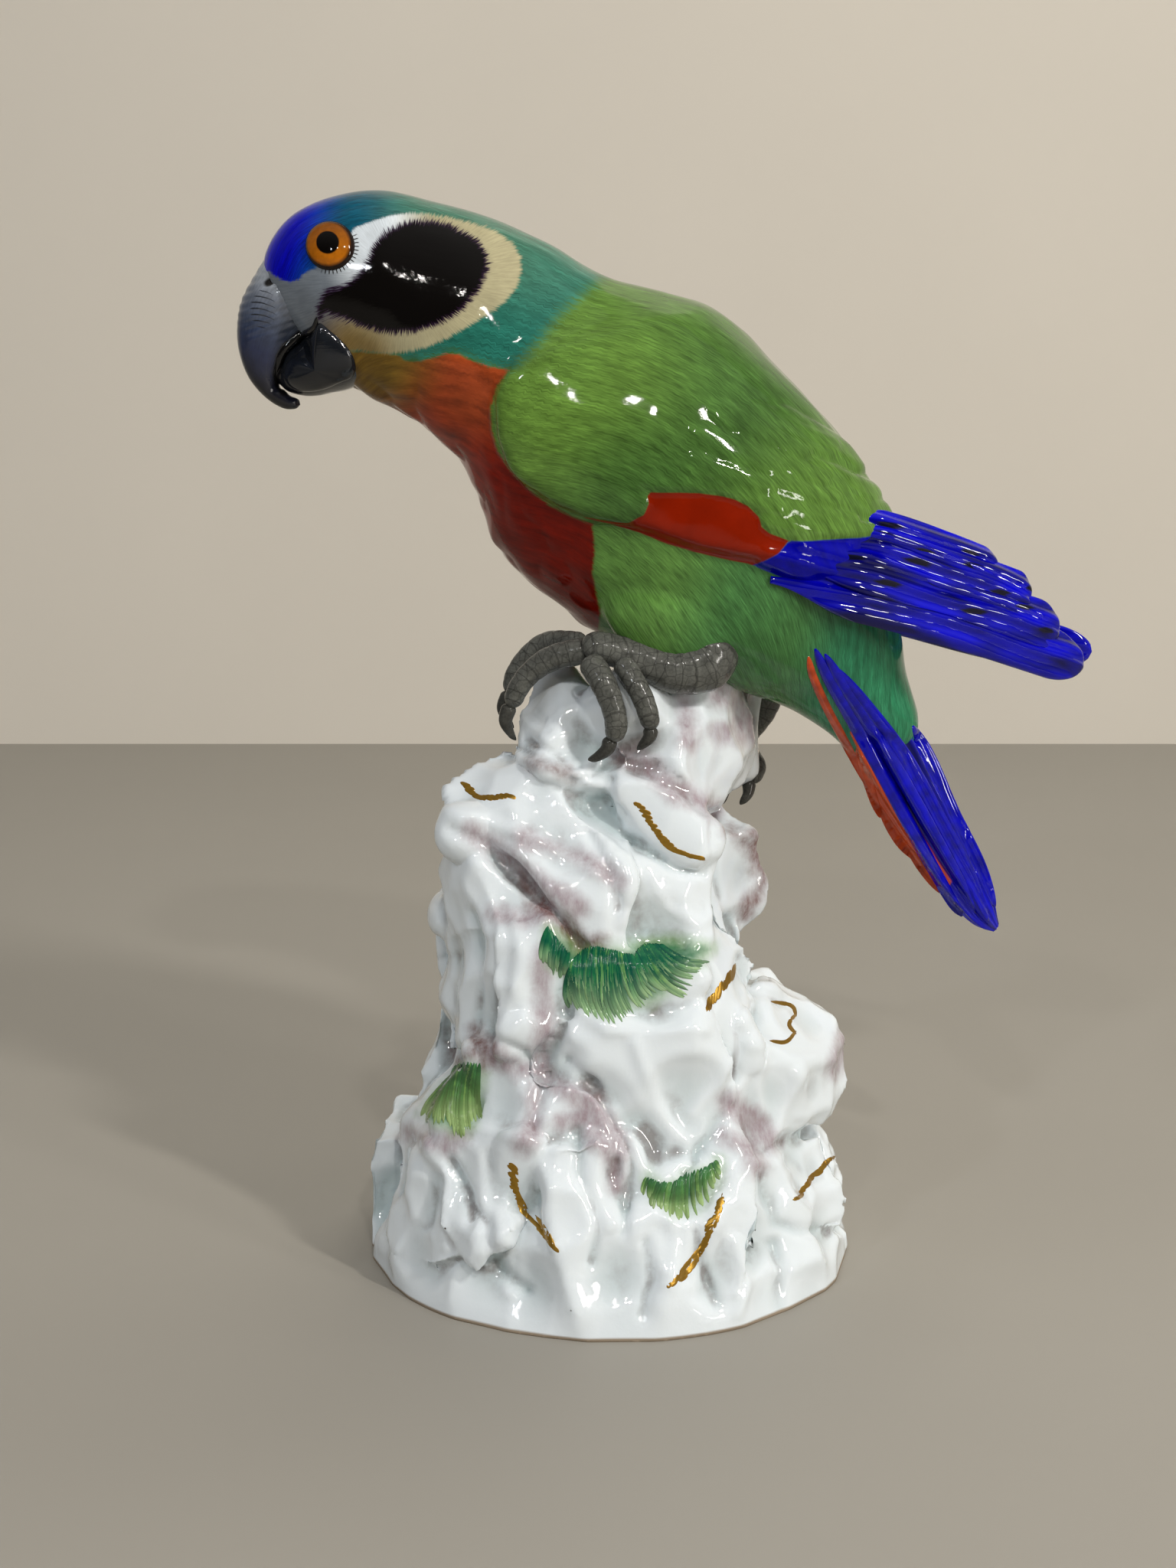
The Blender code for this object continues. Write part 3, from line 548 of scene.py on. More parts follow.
mauveLines = [  # washes of thin mauve that run down the creases, in photograph pixels
    readOff(footView, [(1290, 240), (1320, 330), (1400, 400), (1380, 470), (1260, 510)]),
    readOff(footView, [(1200, 470), (1290, 520)]),
    readOff(footView, [(1310, 600), (1330, 680)]),
    readOff(footView, [(730, 775), (780, 790), (880, 850), (1000, 960)]),
    readOff(shelfView, [(350, 700), (380, 850), (340, 1100)]),
    readOff(leftView, [(440, 130), (600, 260), (700, 220)]),
    readOff(leftView, [(720, 150), (700, 330), (690, 470), (655, 640)]),
    readOff(leftView, [(720, 320), (850, 360), (1000, 470), (1020, 660)]),
    readOff(frontView, [(20, 0), (140, 250), (160, 420)]),
    readOff(frontView, [(1000, 20), (1200, 100), (1250, 260)]),
    readOff(wholeView, [(950, 1440), (985, 1455), (1005, 1490)]),
] + [readOff(rockView, marks) for marks in (
    [(480, 190), (560, 240), (650, 290)],
    [(700, 50), (722, 120), (660, 150)],
    [(590, 90), (602, 170)],
    [(620, 30), (700, 100), (720, 160)],
    [(200, 330), (330, 420), (400, 470)],
    [(300, 345), (400, 372), (470, 420)],
    [(250, 482), (300, 492), (345, 470)],
    [(330, 560), (342, 700), (330, 770), (318, 850), (300, 900)],
    [(240, 742), (320, 772), (430, 830), (470, 880), (466, 950)],
    [(672, 832), (720, 870), (742, 895)],
    [(890, 700), (868, 762)],
    [(90, 880), (150, 902), (185, 880)],
    [(370, 860), (420, 850), (460, 880)],
)]
umberLines = [readOff(rockView, marks) for marks in (
    [(310, 440), (342, 470), (400, 540), (440, 530)],
    [(720, 335), (742, 420), (702, 480)],
    [(200, 742), (232, 722), (222, 760)],
)] + [
    readOff(shelfView, [(290, 0), (400, 60), (560, 180), (640, 260), (760, 280)]),
    readOff(wholeView, [(955, 1085), (985, 1110), (1000, 1150)]),
    readOff(leftView, [(350, 20), (380, 130), (250, 200)]),
    readOff(wholeView, [(700, 1000), (740, 1010)]),
]


mossPatches = [readOff(rockView, marks) for marks in (
    [(345, 510), (400, 560), (440, 545), (520, 535), (560, 530), (640, 545), (600, 580), (560, 615),
     (520, 640),
     (480, 655), (435, 655), (400, 635), (385, 600), (355, 570)],
    [(195, 755), (225, 775), (222, 820), (200, 870), (170, 868), (130, 855), (115, 845), (150, 800)],
    [(530, 960), (560, 975), (600, 962), (655, 932), (648, 970), (618, 1012), (570, 1025), (540, 1000)],
)]


def lumpForm(centre, half, turn):
    # an ellipsoid: centre + turn * (half sizes * unit sphere)
    angle = np.linspace(0, 2 * np.pi, 40, endpoint=False)
    rise = np.linspace(-np.pi / 2 + 0.05, np.pi / 2 - 0.05, 24)
    ball = np.stack([np.cos(rise)[:, None] * np.cos(angle), np.cos(rise)[:, None] * np.sin(angle),
                     np.broadcast_to(np.sin(rise)[:, None], (24, 40))], -1)
    spin = np.array(Euler(np.radians(turn)).to_matrix())
    return closedGrid(((ball * half) @ spin.T + centre) * mm)


def wedgeForm(corners):
    # the convex hull of the outer corners, grown by the lap, and of a short stretch of the rock's axis
    corners = np.asarray(corners, float)
    corners = corners.mean(0) + rock["faceLap"] * (corners - corners.mean(0))
    inner = corners.mean(0) * (0.12, 0.12, 1)
    half = 0.2 * np.ptp(corners[:, 2])
    shape = bmesh.new()
    for place in np.vstack([corners, inner + (0, 0, half), inner - (0, 0, half)]) * mm:
        shape.verts.new(place)
    hull = bmesh.ops.convex_hull(shape, input=shape.verts[:])
    unused = [thing for thing in hull["geom_interior"] if isinstance(thing, bmesh.types.BMVert)]
    bmesh.ops.delete(shape, geom=unused, context="VERTS")
    shape.verts.index_update()
    points = [tuple(vertex.co) for vertex in shape.verts]
    faces = [[vertex.index for vertex in face.verts] for face in shape.faces]
    shape.free()
    return np.array(points), faces


def heartAt(height):
    return [np.interp(height, heart[:, 0], heart[:, column]) for column in (1, 2, 3)]


def heartForm():
    # stacked ovals with folds sin 7a + 0.7 sin 11a + 0.5 sin 17a that die out upwards
    angle = np.linspace(0, 2 * np.pi, 200, endpoint=False)
    folds = np.sin(7 * angle + 0.6) + 0.7 * np.sin(11 * angle + 2.1) + 0.5 * np.sin(17 * angle)
    height = np.linspace(0, heart[-1, 0], 60)
    middle, halfX, halfY = (part[:, None] for part in heartAt(height))
    folding = folds * (1.6 * smoothStep(height / 16) * (1 - smoothStep((height - 40) / 40)))[:, None]
    x = middle + (halfX + folding) * np.cos(angle)
    y = (halfY + folding) * np.sin(angle)
    rings = np.stack([x, y, np.broadcast_to(height[:, None], x.shape)], -1)
    foot = np.stack([rock["baseRadius"] * np.cos(angle), rock["baseRadius"] * np.sin(angle),
                     np.full(len(angle), -rock["footSink"])], -1)
    return closedGrid(np.concatenate([foot[None], rings]) * mm)


def backForms():
    # bands of plainer hewn faces round the back, each with its own depth and tilt
    chance = np.random.default_rng(11)
    forms = []
    for low, high in itertools.pairwise(rock["backBands"]):
        bounds = np.linspace(2, 174, rock["backFaces"] + 1) + chance.uniform(-9, 9, rock["backFaces"] + 1)
        for start, end in itertools.pairwise(np.radians(bounds)):
            proud = chance.uniform(*rock["backProud"])
            heights = (low - rock["backOverlap"], (low + high) / 2, high + rock["backOverlap"])
            corners = []
            for angle, height in itertools.product((start, (start + end) / 2, end), heights):
                middle, halfX, halfY = heartAt(height)
                slant = chance.uniform(-rock["backTilt"], rock["backTilt"])
                reach = 1 + (proud + slant) * smoothStep(height / 44)
                corners.append((middle + halfX * reach * np.cos(angle), halfY * reach * np.sin(angle),
                                height + chance.uniform(-3, 3)))
            forms.append(wedgeForm(corners))
    return forms


def hewnFacets(points):
    # chips struck off the clay: each seed has a scooped plane tilt . away + scoop * away^2, in mm, and a
    # point takes the lowest of them, so that the scoops meet in crisp ridges; one seed a cell, moved by
    # chance, and each point tries the 27 cells round its own
    chance = np.random.default_rng(7)
    cell = np.array(rock["chip"])
    stray = chance.uniform(0.05, 0.95, (16, 16, 16, 3))
    tilts = chance.uniform(-1, 1, (16, 16, 16, 3)) * rock["chipTilt"]
    home = np.floor(points / mm / cell).astype(int)
    lowest = np.full(len(points), np.inf)
    for step in itertools.product((-1, 0, 1), repeat=3):
        box = home + step
        x, y, z = (box % 16).T
        away = points / mm - (box + stray[x, y, z]) * cell
        scoop = (away * tilts[x, y, z]).sum(-1) + rock["scoop"] * (away**2).sum(-1)
        lowest = np.minimum(lowest, scoop)
    return np.minimum(lowest - lowest.mean(), rock["chipTop"])


def lineRelief(pixels, lines, width):
    # 1 on the nearest of the lines, fading as exp(-(distance / width)^2)
    return np.exp(-(np.min([lineDistance(pixels, line) for line in lines], 0) / width) ** 2)


def rockMesh():
    forms = [heartForm()] + backForms()
    forms += [wedgeForm(corners) for corners in hewnFaces]
    forms += [lumpForm(*lump) for lump in lumps]
    mesh = fuseForms("rock", forms, rock["cell"], rock["softening"])
    keepOuterShell(mesh)
    # thick glaze over hewn clay: chips, ridges of 1.0 mm, creases of 1.6 mm and broad swells of 0.25 mm
    points, normals = readPoints(mesh), readNormals(mesh)
    wander = np.stack([latticeNoise(points, 0.012, seed) for seed in (31, 32)], -1) * 4
    pixels = photoPixels(points) + wander
    swell = neighbourMean(mesh, hewnFacets(points), 1)
    swell += 1.0 * lineRelief(pixels, ridgeLines, 2.0) - 1.6 * lineRelief(pixels, creaseLines, 1.8)
    swell += 0.25 * latticeNoise(points, 0.017, 3)
    swell *= 0.35 + 0.65 * smoothStep(points[:, 2] / 0.012)
    movePoints(mesh, points + normals * (swell * mm)[:, None])
    shape = bmesh.new()
    shape.from_mesh(mesh)
    everything = shape.verts[:] + shape.edges[:] + shape.faces[:]
    bmesh.ops.bisect_plane(shape, geom=everything, plane_co=(0, 0, 0), plane_no=(0, 0, -1), clear_outer=True)
    bmesh.ops.contextual_create(shape, geom=[edge for edge in shape.edges if edge.is_boundary])
    shape.to_mesh(mesh)
    shape.free()
    # how deep each point lies in a hollow, in mm: towards the mean of its surroundings along the normal
    points, normals = readPoints(mesh), readNormals(mesh)
    for name, rounds in (("hollow", 60), ("crease", 14)):
        writeValues(mesh, name, ((neighbourMean(mesh, points, rounds) - points) * normals).sum(1) / mm)
    pixels = photoPixels(points)
    front = smoothStep((20 - points[:, 1] / mm) / 10)  # the washes thin out round the back
    mauve = np.min([lineDistance(pixels, line) for line in mauveLines], 0)
    umber = np.min([lineDistance(pixels, line) for line in umberLines], 0)
    writeValues(mesh, "mauve", np.where(front > 0, 3.2 * front - mauve, -9))
    writeValues(mesh, "umber", np.where(front > 0, 2.4 * front - umber, -9))
    moss = np.max([outlineDistance(pixels, patch) for patch in mossPatches], 0)
    writeValues(mesh, "moss", np.where(points[:, 1] < 0, moss, -9))
    return mesh


def rockMaterial():
    # feldspar glaze about 0.5 mm thick on white clay: bright, cool where it pools, darker in the hollows as
    # painted shade, with iron specks
    material, tree = newMaterial("glazed hard-paste porcelain")
    hollow, crease, mauve, umber, moss = (addNode(tree, "Attribute", out="Fac", attribute_name=name)
                                          for name in ("hollow", "crease", "mauve", "umber", "moss"))
    cloud = cloudNoise(tree, 60.0, 5.0, 0.62)
    # pooled glaze in the hollows, darkened further as painted shade
    colour = layOver(tree, rock["glazeWhite"], rock["pooledGlazeAndShade"], hollow, -0.2, 2.2)
    # thin washes round the creases, broken up by the brush, and dirt with painted shade in the deepest of
    # them
    streak = cloudNoise(tree, 420.0, 4.0, 0.7, (1, 1, 0.35))
    grain = addNode(tree, "MapRange", {"Value": streak, "From Min": -0.20, "From Max": 0.18, "To Min": 0.5})
    for edge, tone, strength in ((mauve, rock["mauve"], 0.75), (umber, rock["umber"], 1.0)):
        reach = addNode(tree, "Math", {0: cloud, 1: 9.0, 2: edge}, operation="MULTIPLY_ADD")
        wash = addNode(tree, "MapRange", {"Value": reach, "From Min": -2.2, "From Max": 3.4,
                                          "To Max": strength}, interpolation_type="SMOOTHSTEP")
        wash = addNode(tree, "Math", {0: wash, 1: grain}, operation="MULTIPLY")
        colour = layOver(tree, colour, tone, wash, 0, 1)
    # the deepest creases darkened in patches: brown dirt together with painted shade
    seam = addNode(tree, "MapRange", {"Value": crease, "From Min": 0.12, "From Max": 0.75})
    spot = addNode(tree, "MapRange", {"Value": cloud, "From Min": -0.04, "From Max": 0.12,
                                      "To Max": rock["creaseDarkening"]})
    creaseDirtAndShade = addNode(tree, "Math", {0: seam, 1: spot}, operation="MULTIPLY")
    colour = layOver(tree, colour, rock["creaseDirtAndShade"], creaseDirtAndShade, 0, 1)
    # ground colour of the grass, thin at its ragged rim
    turf = layOver(tree, grass["deep"], grass["mid"], cloud, -0.5, 0.5)
    reach = addNode(tree, "Math", {0: cloud, 1: 11.0, 2: moss}, operation="MULTIPLY_ADD")
    colour = layOver(tree, colour, grass["lemon"], reach, -4.2, 1.5, 0.55, "SMOOTHSTEP")
    colour = layOver(tree, colour, turf, reach, -0.8, 3.6, 0.9, "SMOOTHSTEP")
    # iron specks of about 0.4 mm, one every few centimetres
    place = addNode(tree, "TexCoord", out="Object")
    cells = addNode(tree, "TexVoronoi", {"Vector": place, "Scale": 55.0, "Randomness": 1.0}, "Distance")
    speck = addNode(tree, "MapRange", {"Value": cells, "From Min": 0.024, "From Max": 0.010})
    rare = addNode(tree, "Math", {0: cells.node.outputs["Color"], 1: 0.72}, operation="GREATER_THAN")
    speck = addNode(tree, "Math", {0: speck, 1: rare}, operation="MULTIPLY")
    colour = layOver(tree, colour, rock["speck"], speck, 0, 1)
    # the foot's unglazed line, up to 1 mm above the floor
    height = addNode(tree, "SeparateXYZ", {0: place}, "Z")
    bare = addNode(tree, "MapRange", {"Value": height, "From Min": 0.0013, "From Max": 0.0007})
    colour = layOver(tree, colour, rock["bareClay"], bare, 0, 1)
    gloss = addNode(tree, "MapRange", {"Value": bare, "To Min": 0.07, "To Max": 0.75})
    glaze(tree, colour, cloud, 0.22, gloss, 0.5, {
        "Coat Weight": 0.2, "Subsurface Weight": 0.12, "Subsurface Radius": (0.9, 0.9, 0.8),
        "Subsurface Scale": 1.2 * mm})
    return material


rockSkin = rockMesh()
placePiece("rock", rockSkin, rockMaterial())
print("rock", len(rockSkin.polygons))

rockTree = skinTree(rockSkin)


# grass and gold, brushed on the rock

gold = {"width": 1.3, "proud": 0.12, "ground": "#8a661e", "tone": "#b58e38"}


def layStrokes(name, tree, paths, widths, proud, rows=18, around=12, tints=None, sides=(1,)):
    # each stroke is its path plus s * width across, s = cos a, cast on the skin along the photograph's rays,
    # raised by proud * sin a on top and sunk 0.5 mm below, so that it is a closed form; side -1 gives the
    # far side its mirror image, and tints say how yellow each stroke's tip is
    angle = np.linspace(0, 2 * np.pi, around, endpoint=False)
    t = np.linspace(0, 1, rows)
    plump = np.sqrt(np.clip(1 - np.abs(2 * t - 1) ** 3, 0.02, 1))
    height = np.where(np.sin(angle) > 0, proud, 0.5) * np.sin(angle) - 0.2 * proud
    points, faces, along, own, base = [], [], [], [], 0
    for number, (path, width) in enumerate(zip(paths, widths)):
        line = resample(path, rows)
        run = np.gradient(line, axis=0)
        across = np.stack([-run[:, 1], run[:, 0]], -1) / np.linalg.norm(run, axis=1, keepdims=True)
        reach = width * mm / 2 / photoCamera["reach"] * plump
        spread = (reach[:, None] * np.cos(angle))[..., None]
        skin, normal = castOn(tree, line[:, None] + across[:, None] * spread)
        normal = normal.mean(1, keepdims=True)
        normal /= np.linalg.norm(normal, axis=-1, keepdims=True)
        rings = skin + normal * (plump[:, None] * height * mm)[..., None]
        corners, sheets = closedGrid(rings)
        for side in sides:
            points.append(corners * (1, side, 1))
            faces += [[base + corner for corner in sheet][::side] for sheet in sheets]
            base += len(corners)
            along.append(np.append(np.repeat(t, around), [0, 1]))
        own.append(np.full(len(corners) * len(sides), math.sin(number * 127.1) * 43758.5 % 1))
    mesh = writeMesh(name, np.vstack(points), faces)
    writeValues(mesh, "along", np.concatenate(along))
    writeValues(mesh, "own", np.concatenate(own))
    if tints is not None:
        writeValues(mesh, "tint", np.repeat(tints, len(corners)))
    return mesh


def fanPaths(view, roots, tips, count, bow, seed):
    # blades from a root line to a tip line, bowed sideways, each with its own small stray
    chance = np.random.default_rng(seed)
    root, tip = resample(readOff(view, roots), count), resample(readOff(view, tips), count)
    tip = tip + chance.uniform(-4.5, 4.5, tip.shape)
    root = root + chance.uniform(-1.0, 1.0, root.shape)
    run = tip - root
    sideways = np.stack([-run[:, 1], run[:, 0]], -1) * bow
    return [np.array([a, a + 0.35 * (c - a) + b * 0.8, a + 0.7 * (c - a) + b * 0.9, c])
            for a, b, c in zip(root, sideways, tip)]


def grassMaterial():
    # chrome green overglaze enamel, laid in single strokes that pool dark and fade to a pale tip
    material, tree = newMaterial("chrome green overglaze enamel")
    along, own, tint = (addNode(tree, "Attribute", out="Fac", attribute_name=name)
                        for name in ("along", "own", "tint"))
    cloud = cloudNoise(tree, 420.0, 3.0)
    colour = layOver(tree, grass["deep"], grass["mid"], own, 0, 1)
    colour = layOver(tree, colour, grass["lemon"], own, 0.80, 1.0, 0.8)
    colour = layOver(tree, colour, grass["deep"], cloud, -0.15, 0.15, 0.7)
    fade = addNode(tree, "MapRange", {"Value": along, "From Min": 0.35, "From Max": 1.0, "To Max": 0.85},
                   interpolation_type="SMOOTHSTEP")
    for tone, amount, share, least in ((grass["pale"], fade, own, 0.35),
                                       (grass["yellow"], tint, along, 0.25)):
        share = addNode(tree, "MapRange", {"Value": share, "To Min": least})
        amount = addNode(tree, "Math", {0: amount, 1: share}, operation="MULTIPLY")
        colour = layOver(tree, colour, tone, amount, 0, 1)
    glaze(tree, colour, cloud, 0.10, 0.09)
    return material


def goldMaterial():
    # burnished gold, 0.1 mm thick at most, worn to its brown ground in places
    material, tree = newMaterial("burnished gilding")
    cloud = cloudNoise(tree, 700.0, 3.0)
    colour = layOver(tree, gold["ground"], gold["tone"], cloud, -0.5, 0.5)
    bump = addNode(tree, "Bump", {"Height": cloud, "Distance": 0.05 * mm, "Strength": 1.0})
    shader = addNode(tree, "BsdfPrincipled", {"Base Color": colour, "Metallic": 0.75, "Roughness": 0.34,
                                              "Normal": bump})
    addNode(tree, "OutputMaterial", {"Surface": shader})
    return material


mainRoots = [(545, 440), (600, 340), (700, 290), (800, 305), (880, 325), (960, 345)]
sideRoots = [(985, 360), (1010, 310), (1050, 275), (1100, 275), (1160, 280)]
tufts = [  # view, root line, tip line, blades, bow, seed, and how yellow the tips are
    (shelfView, mainRoots, [(545, 690), (630, 725), (720, 765), (840, 810), (950, 745), (1070, 660)],
     42, 0.10, 1, 0),
    (shelfView, mainRoots, [(560, 560), (640, 600), (740, 640), (850, 650), (960, 600), (1050, 540)],
     30, 0.06, 12, 0),
    (shelfView, sideRoots, [(1070, 650), (1190, 590), (1340, 622), (1395, 480), (1490, 400)],
     26, 0.12, 2, 0),
    (shelfView, sideRoots, [(1060, 520), (1140, 500), (1230, 500), (1280, 430), (1330, 370)],
     16, 0.10, 13, 0),
    (shelfView, [(395, 150), (450, 230), (540, 330)], [(365, 400), (430, 450), (510, 510)], 16, 0.05, 3, 0),
    (leftView, [(235, 225), (300, 205), (380, 215)], [(190, 560), (260, 620), (385, 510)],
     18, 0.06, 4, 0.35),
    (leftView, [(215, 300), (240, 250), (255, 230)], [(30, 500), (110, 540), (180, 565)],
     12, 0.06, 5, 0.35),
    (frontView, [(380, 340), (520, 380), (620, 370), (700, 310), (850, 260), (930, 215)],
     [(350, 480), (480, 580), (600, 640), (720, 665), (870, 510), (975, 290)], 34, 0.06, 6, 0.3),
]
blades = [blade for *tuft, _ in tufts for blade in fanPaths(*tuft)]
tints = np.repeat([tuft[-1] for tuft in tufts], [tuft[3] for tuft in tufts])
bladeWidths = np.random.default_rng(8).uniform(0.6, 1.35, len(blades)) * grass["width"]
grassMesh = layStrokes("grassTufts", rockTree, blades, bladeWidths, grass["proud"], tints=tints)
placePiece("grassTufts", grassMesh, grassMaterial())


def goldChain(view, line, count, slant, length, seed):
    # short brush strokes laid side by side along a line, as the gilder draws a broken branch
    chance = np.random.default_rng(seed)
    path = resample(readOff(view, line), count)
    run = np.array([math.cos(math.radians(slant)), math.sin(math.radians(slant))])
    half = chance.uniform(0.35, 0.6, (count, 1)) * length * mm / photoCamera["reach"]
    middle = path + chance.uniform(-1.2, 1.2, path.shape)
    bend = chance.uniform(-0.9, 0.9, (count, 2))
    return [np.array([m - h * run, m - 0.3 * h * run + b, m + 0.3 * h * run + b, m + h * run])
            for m, h, b in zip(middle, half, bend)]


chains = [  # view, line, strokes, slant in degrees, length of a stroke in mm, seed
    (leftView, [(563, 800), (572, 900), (605, 1010), (650, 1080), (710, 1150), (800, 1260)],
     24, 42, 3.6, 1),
    (frontView, [(972, 520), (950, 620), (895, 700), (860, 820), (825, 920), (760, 1020), (700, 1110),
                 (580, 1200)], 30, 140, 3.4, 2),
    (wholeView, [(834, 1049), (858, 1085), (885, 1112), (915, 1122)], 20, 18, 3.4, 3),
    (wholeView, [(957, 1270), (945, 1286), (936, 1300), (925, 1312)], 10, 100, 4.6, 4),
    (wholeView, [(1084, 1513), (1070, 1530), (1060, 1538), (1043, 1562)], 14, 150, 3.2, 6),
    (wholeView, [(608, 1024), (622, 1040), (645, 1042), (668, 1040)], 14, 20, 3.2, 7),
]
strokes = [stroke for chain in chains for stroke in goldChain(*chain)]
strokes += [readOff(rockView, marks) for marks in (
    [(750, 640), (788, 648), (797, 668)], [(797, 662), (784, 682), (797, 700)],
    [(797, 694), (778, 714), (748, 712)], [(512, 282), (535, 322), (560, 352)],
    [(540, 335), (568, 362), (618, 378)], [(195, 243), (215, 266), (272, 268)],
    [(278, 938), (286, 985), (306, 1020)], [(320, 1030), (340, 1060), (357, 1090)],
    [(662, 990), (650, 1045), (622, 1085)], [(625, 1085), (590, 1130), (566, 1162)],
)]
goldWidths = np.full(len(strokes), gold["width"])
goldMesh = layStrokes("gildedStrokes", rockTree, strokes, goldWidths, gold["proud"], 10)
placePiece("gildedStrokes", goldMesh, goldMaterial())
print("grass and gold", len(blades), len(strokes))


# the bird's body: head, trunk, folded wings and thighs under one skin

body = {
    "width": 84,
    "cell": 0.98 * mm,
    "softening": 3,
    "wingRelief": 4.5,
    "ledge": 1.1,  # how far the wing coverts stand above the flight feathers and the red bend
    "plume": 1.4,  # relief of the long rear coverts
}
trunk = np.array([  # back x, z, breast x, z, then half width as a share of the width
    (-99, 106, -97, 101, 0.03), (-101, 113, -89, 92, 0.11), (-98, 121, -82, 84, 0.18),
    (-91, 128, -74, 78, 0.245), (-80, 132.5, -66, 74, 0.285), (-66, 134, -57, 69, 0.315),
    (-50, 130.5, -49, 62, 0.34), (-34, 126, -42, 54, 0.37), (-18, 119, -38, 43, 0.405),
    (-3, 110.5, -34, 33, 0.445), (14, 104, -27, 24, 0.48), (32, 93.5, -17, 16, 0.50),
    (48, 78, -5, 7, 0.50), (62, 63, 10, -1, 0.475), (73, 48, 26, -7, 0.43), (81, 31, 41, -12, 0.36),
    (85, 12, 54, -17, 0.275), (88, -5, 65, -24, 0.20), (92, -20, 75, -32, 0.14), (90, -29, 82, -34, 0.04),
])
wingEdge = np.array([  # lower front edge of the folded wing, from the side
    (26, 132), (6, 113), (-12, 102), (-23, 95), (-31, 84), (-33, 76), (-32, 66), (-28, 55), (-17, 47),
    (-4, 42), (11, 38), (21, 34), (39, 30), (53, 25), (71, 19), (92, 11),
])
brow = [(190, 460), (215, 480), (250, 500), (292, 515), (335, 503), (362, 472), (398, 455), (440, 430),
        (560, 350), (600, 255), (650, 235), (720, 210), (790, 188), (860, 180)]
bend = [(720, 850), (820, 852), (900, 862), (950, 875), (1000, 900), (1040, 940), (1050, 975), (1080, 1000)]
outlines = {  # painted borders, in photograph pixels
    "black": readOff(headView, [
        (425, 640), (440, 590), (460, 560), (500, 540), (560, 530), (600, 500), (640, 450), (670, 410),
        (690, 350), (720, 310), (750, 275), (800, 250), (850, 225), (920, 212), (1000, 215), (1080, 235),
        (1150, 270), (1210, 310), (1250, 360), (1268, 420), (1250, 480), (1230, 540), (1190, 590),
        (1150, 640), (1100, 680), (1040, 715), (960, 745), (880, 765), (800, 770), (720, 762), (640, 735),
        (580, 710), (520, 690), (470, 672), (450, 700), (425, 705)]),
    "face": readOff(headView, [
        (60, 470), *brow, (950, 185),
        (1050, 197), (1150, 222), (1250, 250), (1330, 290), (1390, 340), (1418, 400), (1420, 470),
        (1400, 540), (1355, 595), (1300, 645), (1230, 690), (1150, 740), (1060, 790), (980, 825),
        (900, 850), (830, 862), (760, 866), (690, 858), (620, 850), (500, 860), (60, 860)]),
    "cap": readOff(headView, [
        (60, 200), (150, 470), *brow, (950, 100), (700, -60), (200, -60)]),
    "teal": readOff(headView, [
        (0, 0), (1000, 0), (1300, 130), (1568, 260), (1822, 489), (1635, 650), (1501, 810), (1396, 930),
        (1340, 948), (1260, 932), (1180, 902), (1120, 872), (1060, 866), (1000, 886), (930, 906),
        (850, 900), (810, 875), (0, 875)]),
    "breast": np.vstack([
        readOff(headView, [
            (0, 862), (640, 855), (700, 862), (760, 866), (830, 878), (850, 900), (930, 905), (1000, 885),
            (1060, 865), (1120, 870), (1180, 900), (1260, 930), (1370, 945)]),
        readOff(wingView, [
            (125, 400), (80, 460), (57, 540), (62, 620), (85, 700), (130, 770), (200, 840), (280, 900),
            (360, 940), (430, 965), (440, 1060), (430, 1140), (445, 1220), (460, 1290)]),
        readOff(footView, [(600, 60), (590, 200), (-900, 200)])]),
    "redBend": readOff(wingView, [
        (640, 848), *bend, (1150, 1025), (1110, 1075), (1060, 1100), (1020, 1118), (1000, 1110),
        (900, 1090),
        (800, 1065), (700, 1035), (600, 995), (500, 965), (400, 940), (470, 952), (560, 962), (620, 930),
        (637, 890), (632, 860)]),
    "blueRoots": readOff(wingView, [
        (1150, 1025), (1200, 1028), (1300, 1022), (1400, 1015), (1480, 1005), (1515, 985), (1530, 950),
        (1500, 915), (1560, 930), (1700, 1300), (1250, 1210), (1100, 1150), (1015, 1115), (1060, 1100),
        (1110, 1075)]),
    "coverts": readOff(wingView, [
        (85, 700), (60, 620), (55, 540), (80, 460), (130, 400), (300, 0), (1300, -200), (1500, 700),
        (1535, 950), (1515, 985), (1480, 1005), (1400, 1015),
        (1300, 1022), (1200, 1028), (1130, 1020), *bend[::-1], (640, 850), (610, 830), (625, 850),
        (635, 890),
        (620, 930), (560, 965), (440, 962), (360, 940), (200, 840)]),
}
primaryLines = [readOff(rearView, marks) for marks in (
    [(470, 142), (600, 175), (700, 235)], [(520, 131), (650, 165), (760, 235)], [(600, 127), (700, 150)],
    [(462, 156), (560, 195), (640, 240)], [(640, 108), (700, 120), (780, 160)],
)]
plumes = [  # long rear coverts: root and tip in the wing view, and half width in mm
    ((900, 560), (1180, 700), 3.6), ((1010, 560), (1290, 690), 3.6), ((1120, 580), (1400, 740), 3.4),
    ((820, 640), (1080, 760), 3.4), ((960, 680), (1260, 800), 3.4), ((1120, 720), (1440, 860), 3.4),
    ((800, 740), (1060, 830), 3.2), ((960, 780), (1300, 880), 3.2), ((1150, 820), (1500, 930), 3.2),
    ((900, 830), (1110, 905), 3.0), ((1060, 880), (1360, 960), 3.0), ((1080, 950), (1440, 1000), 2.8),
]


def profileRings(table, fullWidth, count, around):
    # ovals between the two profiles: middle + reach * cos a in the side plane, width * sin a across
    rows = resample(table, count)
    upper, lower, width = rows[:, 0:2], rows[:, 2:4], rows[:, 4] * fullWidth
    middle, reach = (upper + lower) / 2, (upper - lower) / 2
    angle = np.linspace(0, 2 * np.pi, around, endpoint=False)
    flat = middle[:, None] + reach[:, None] * np.cos(angle)[None, :, None]
    return np.stack([flat[..., 0], width[:, None] * np.sin(angle), flat[..., 1] + perch], -1)


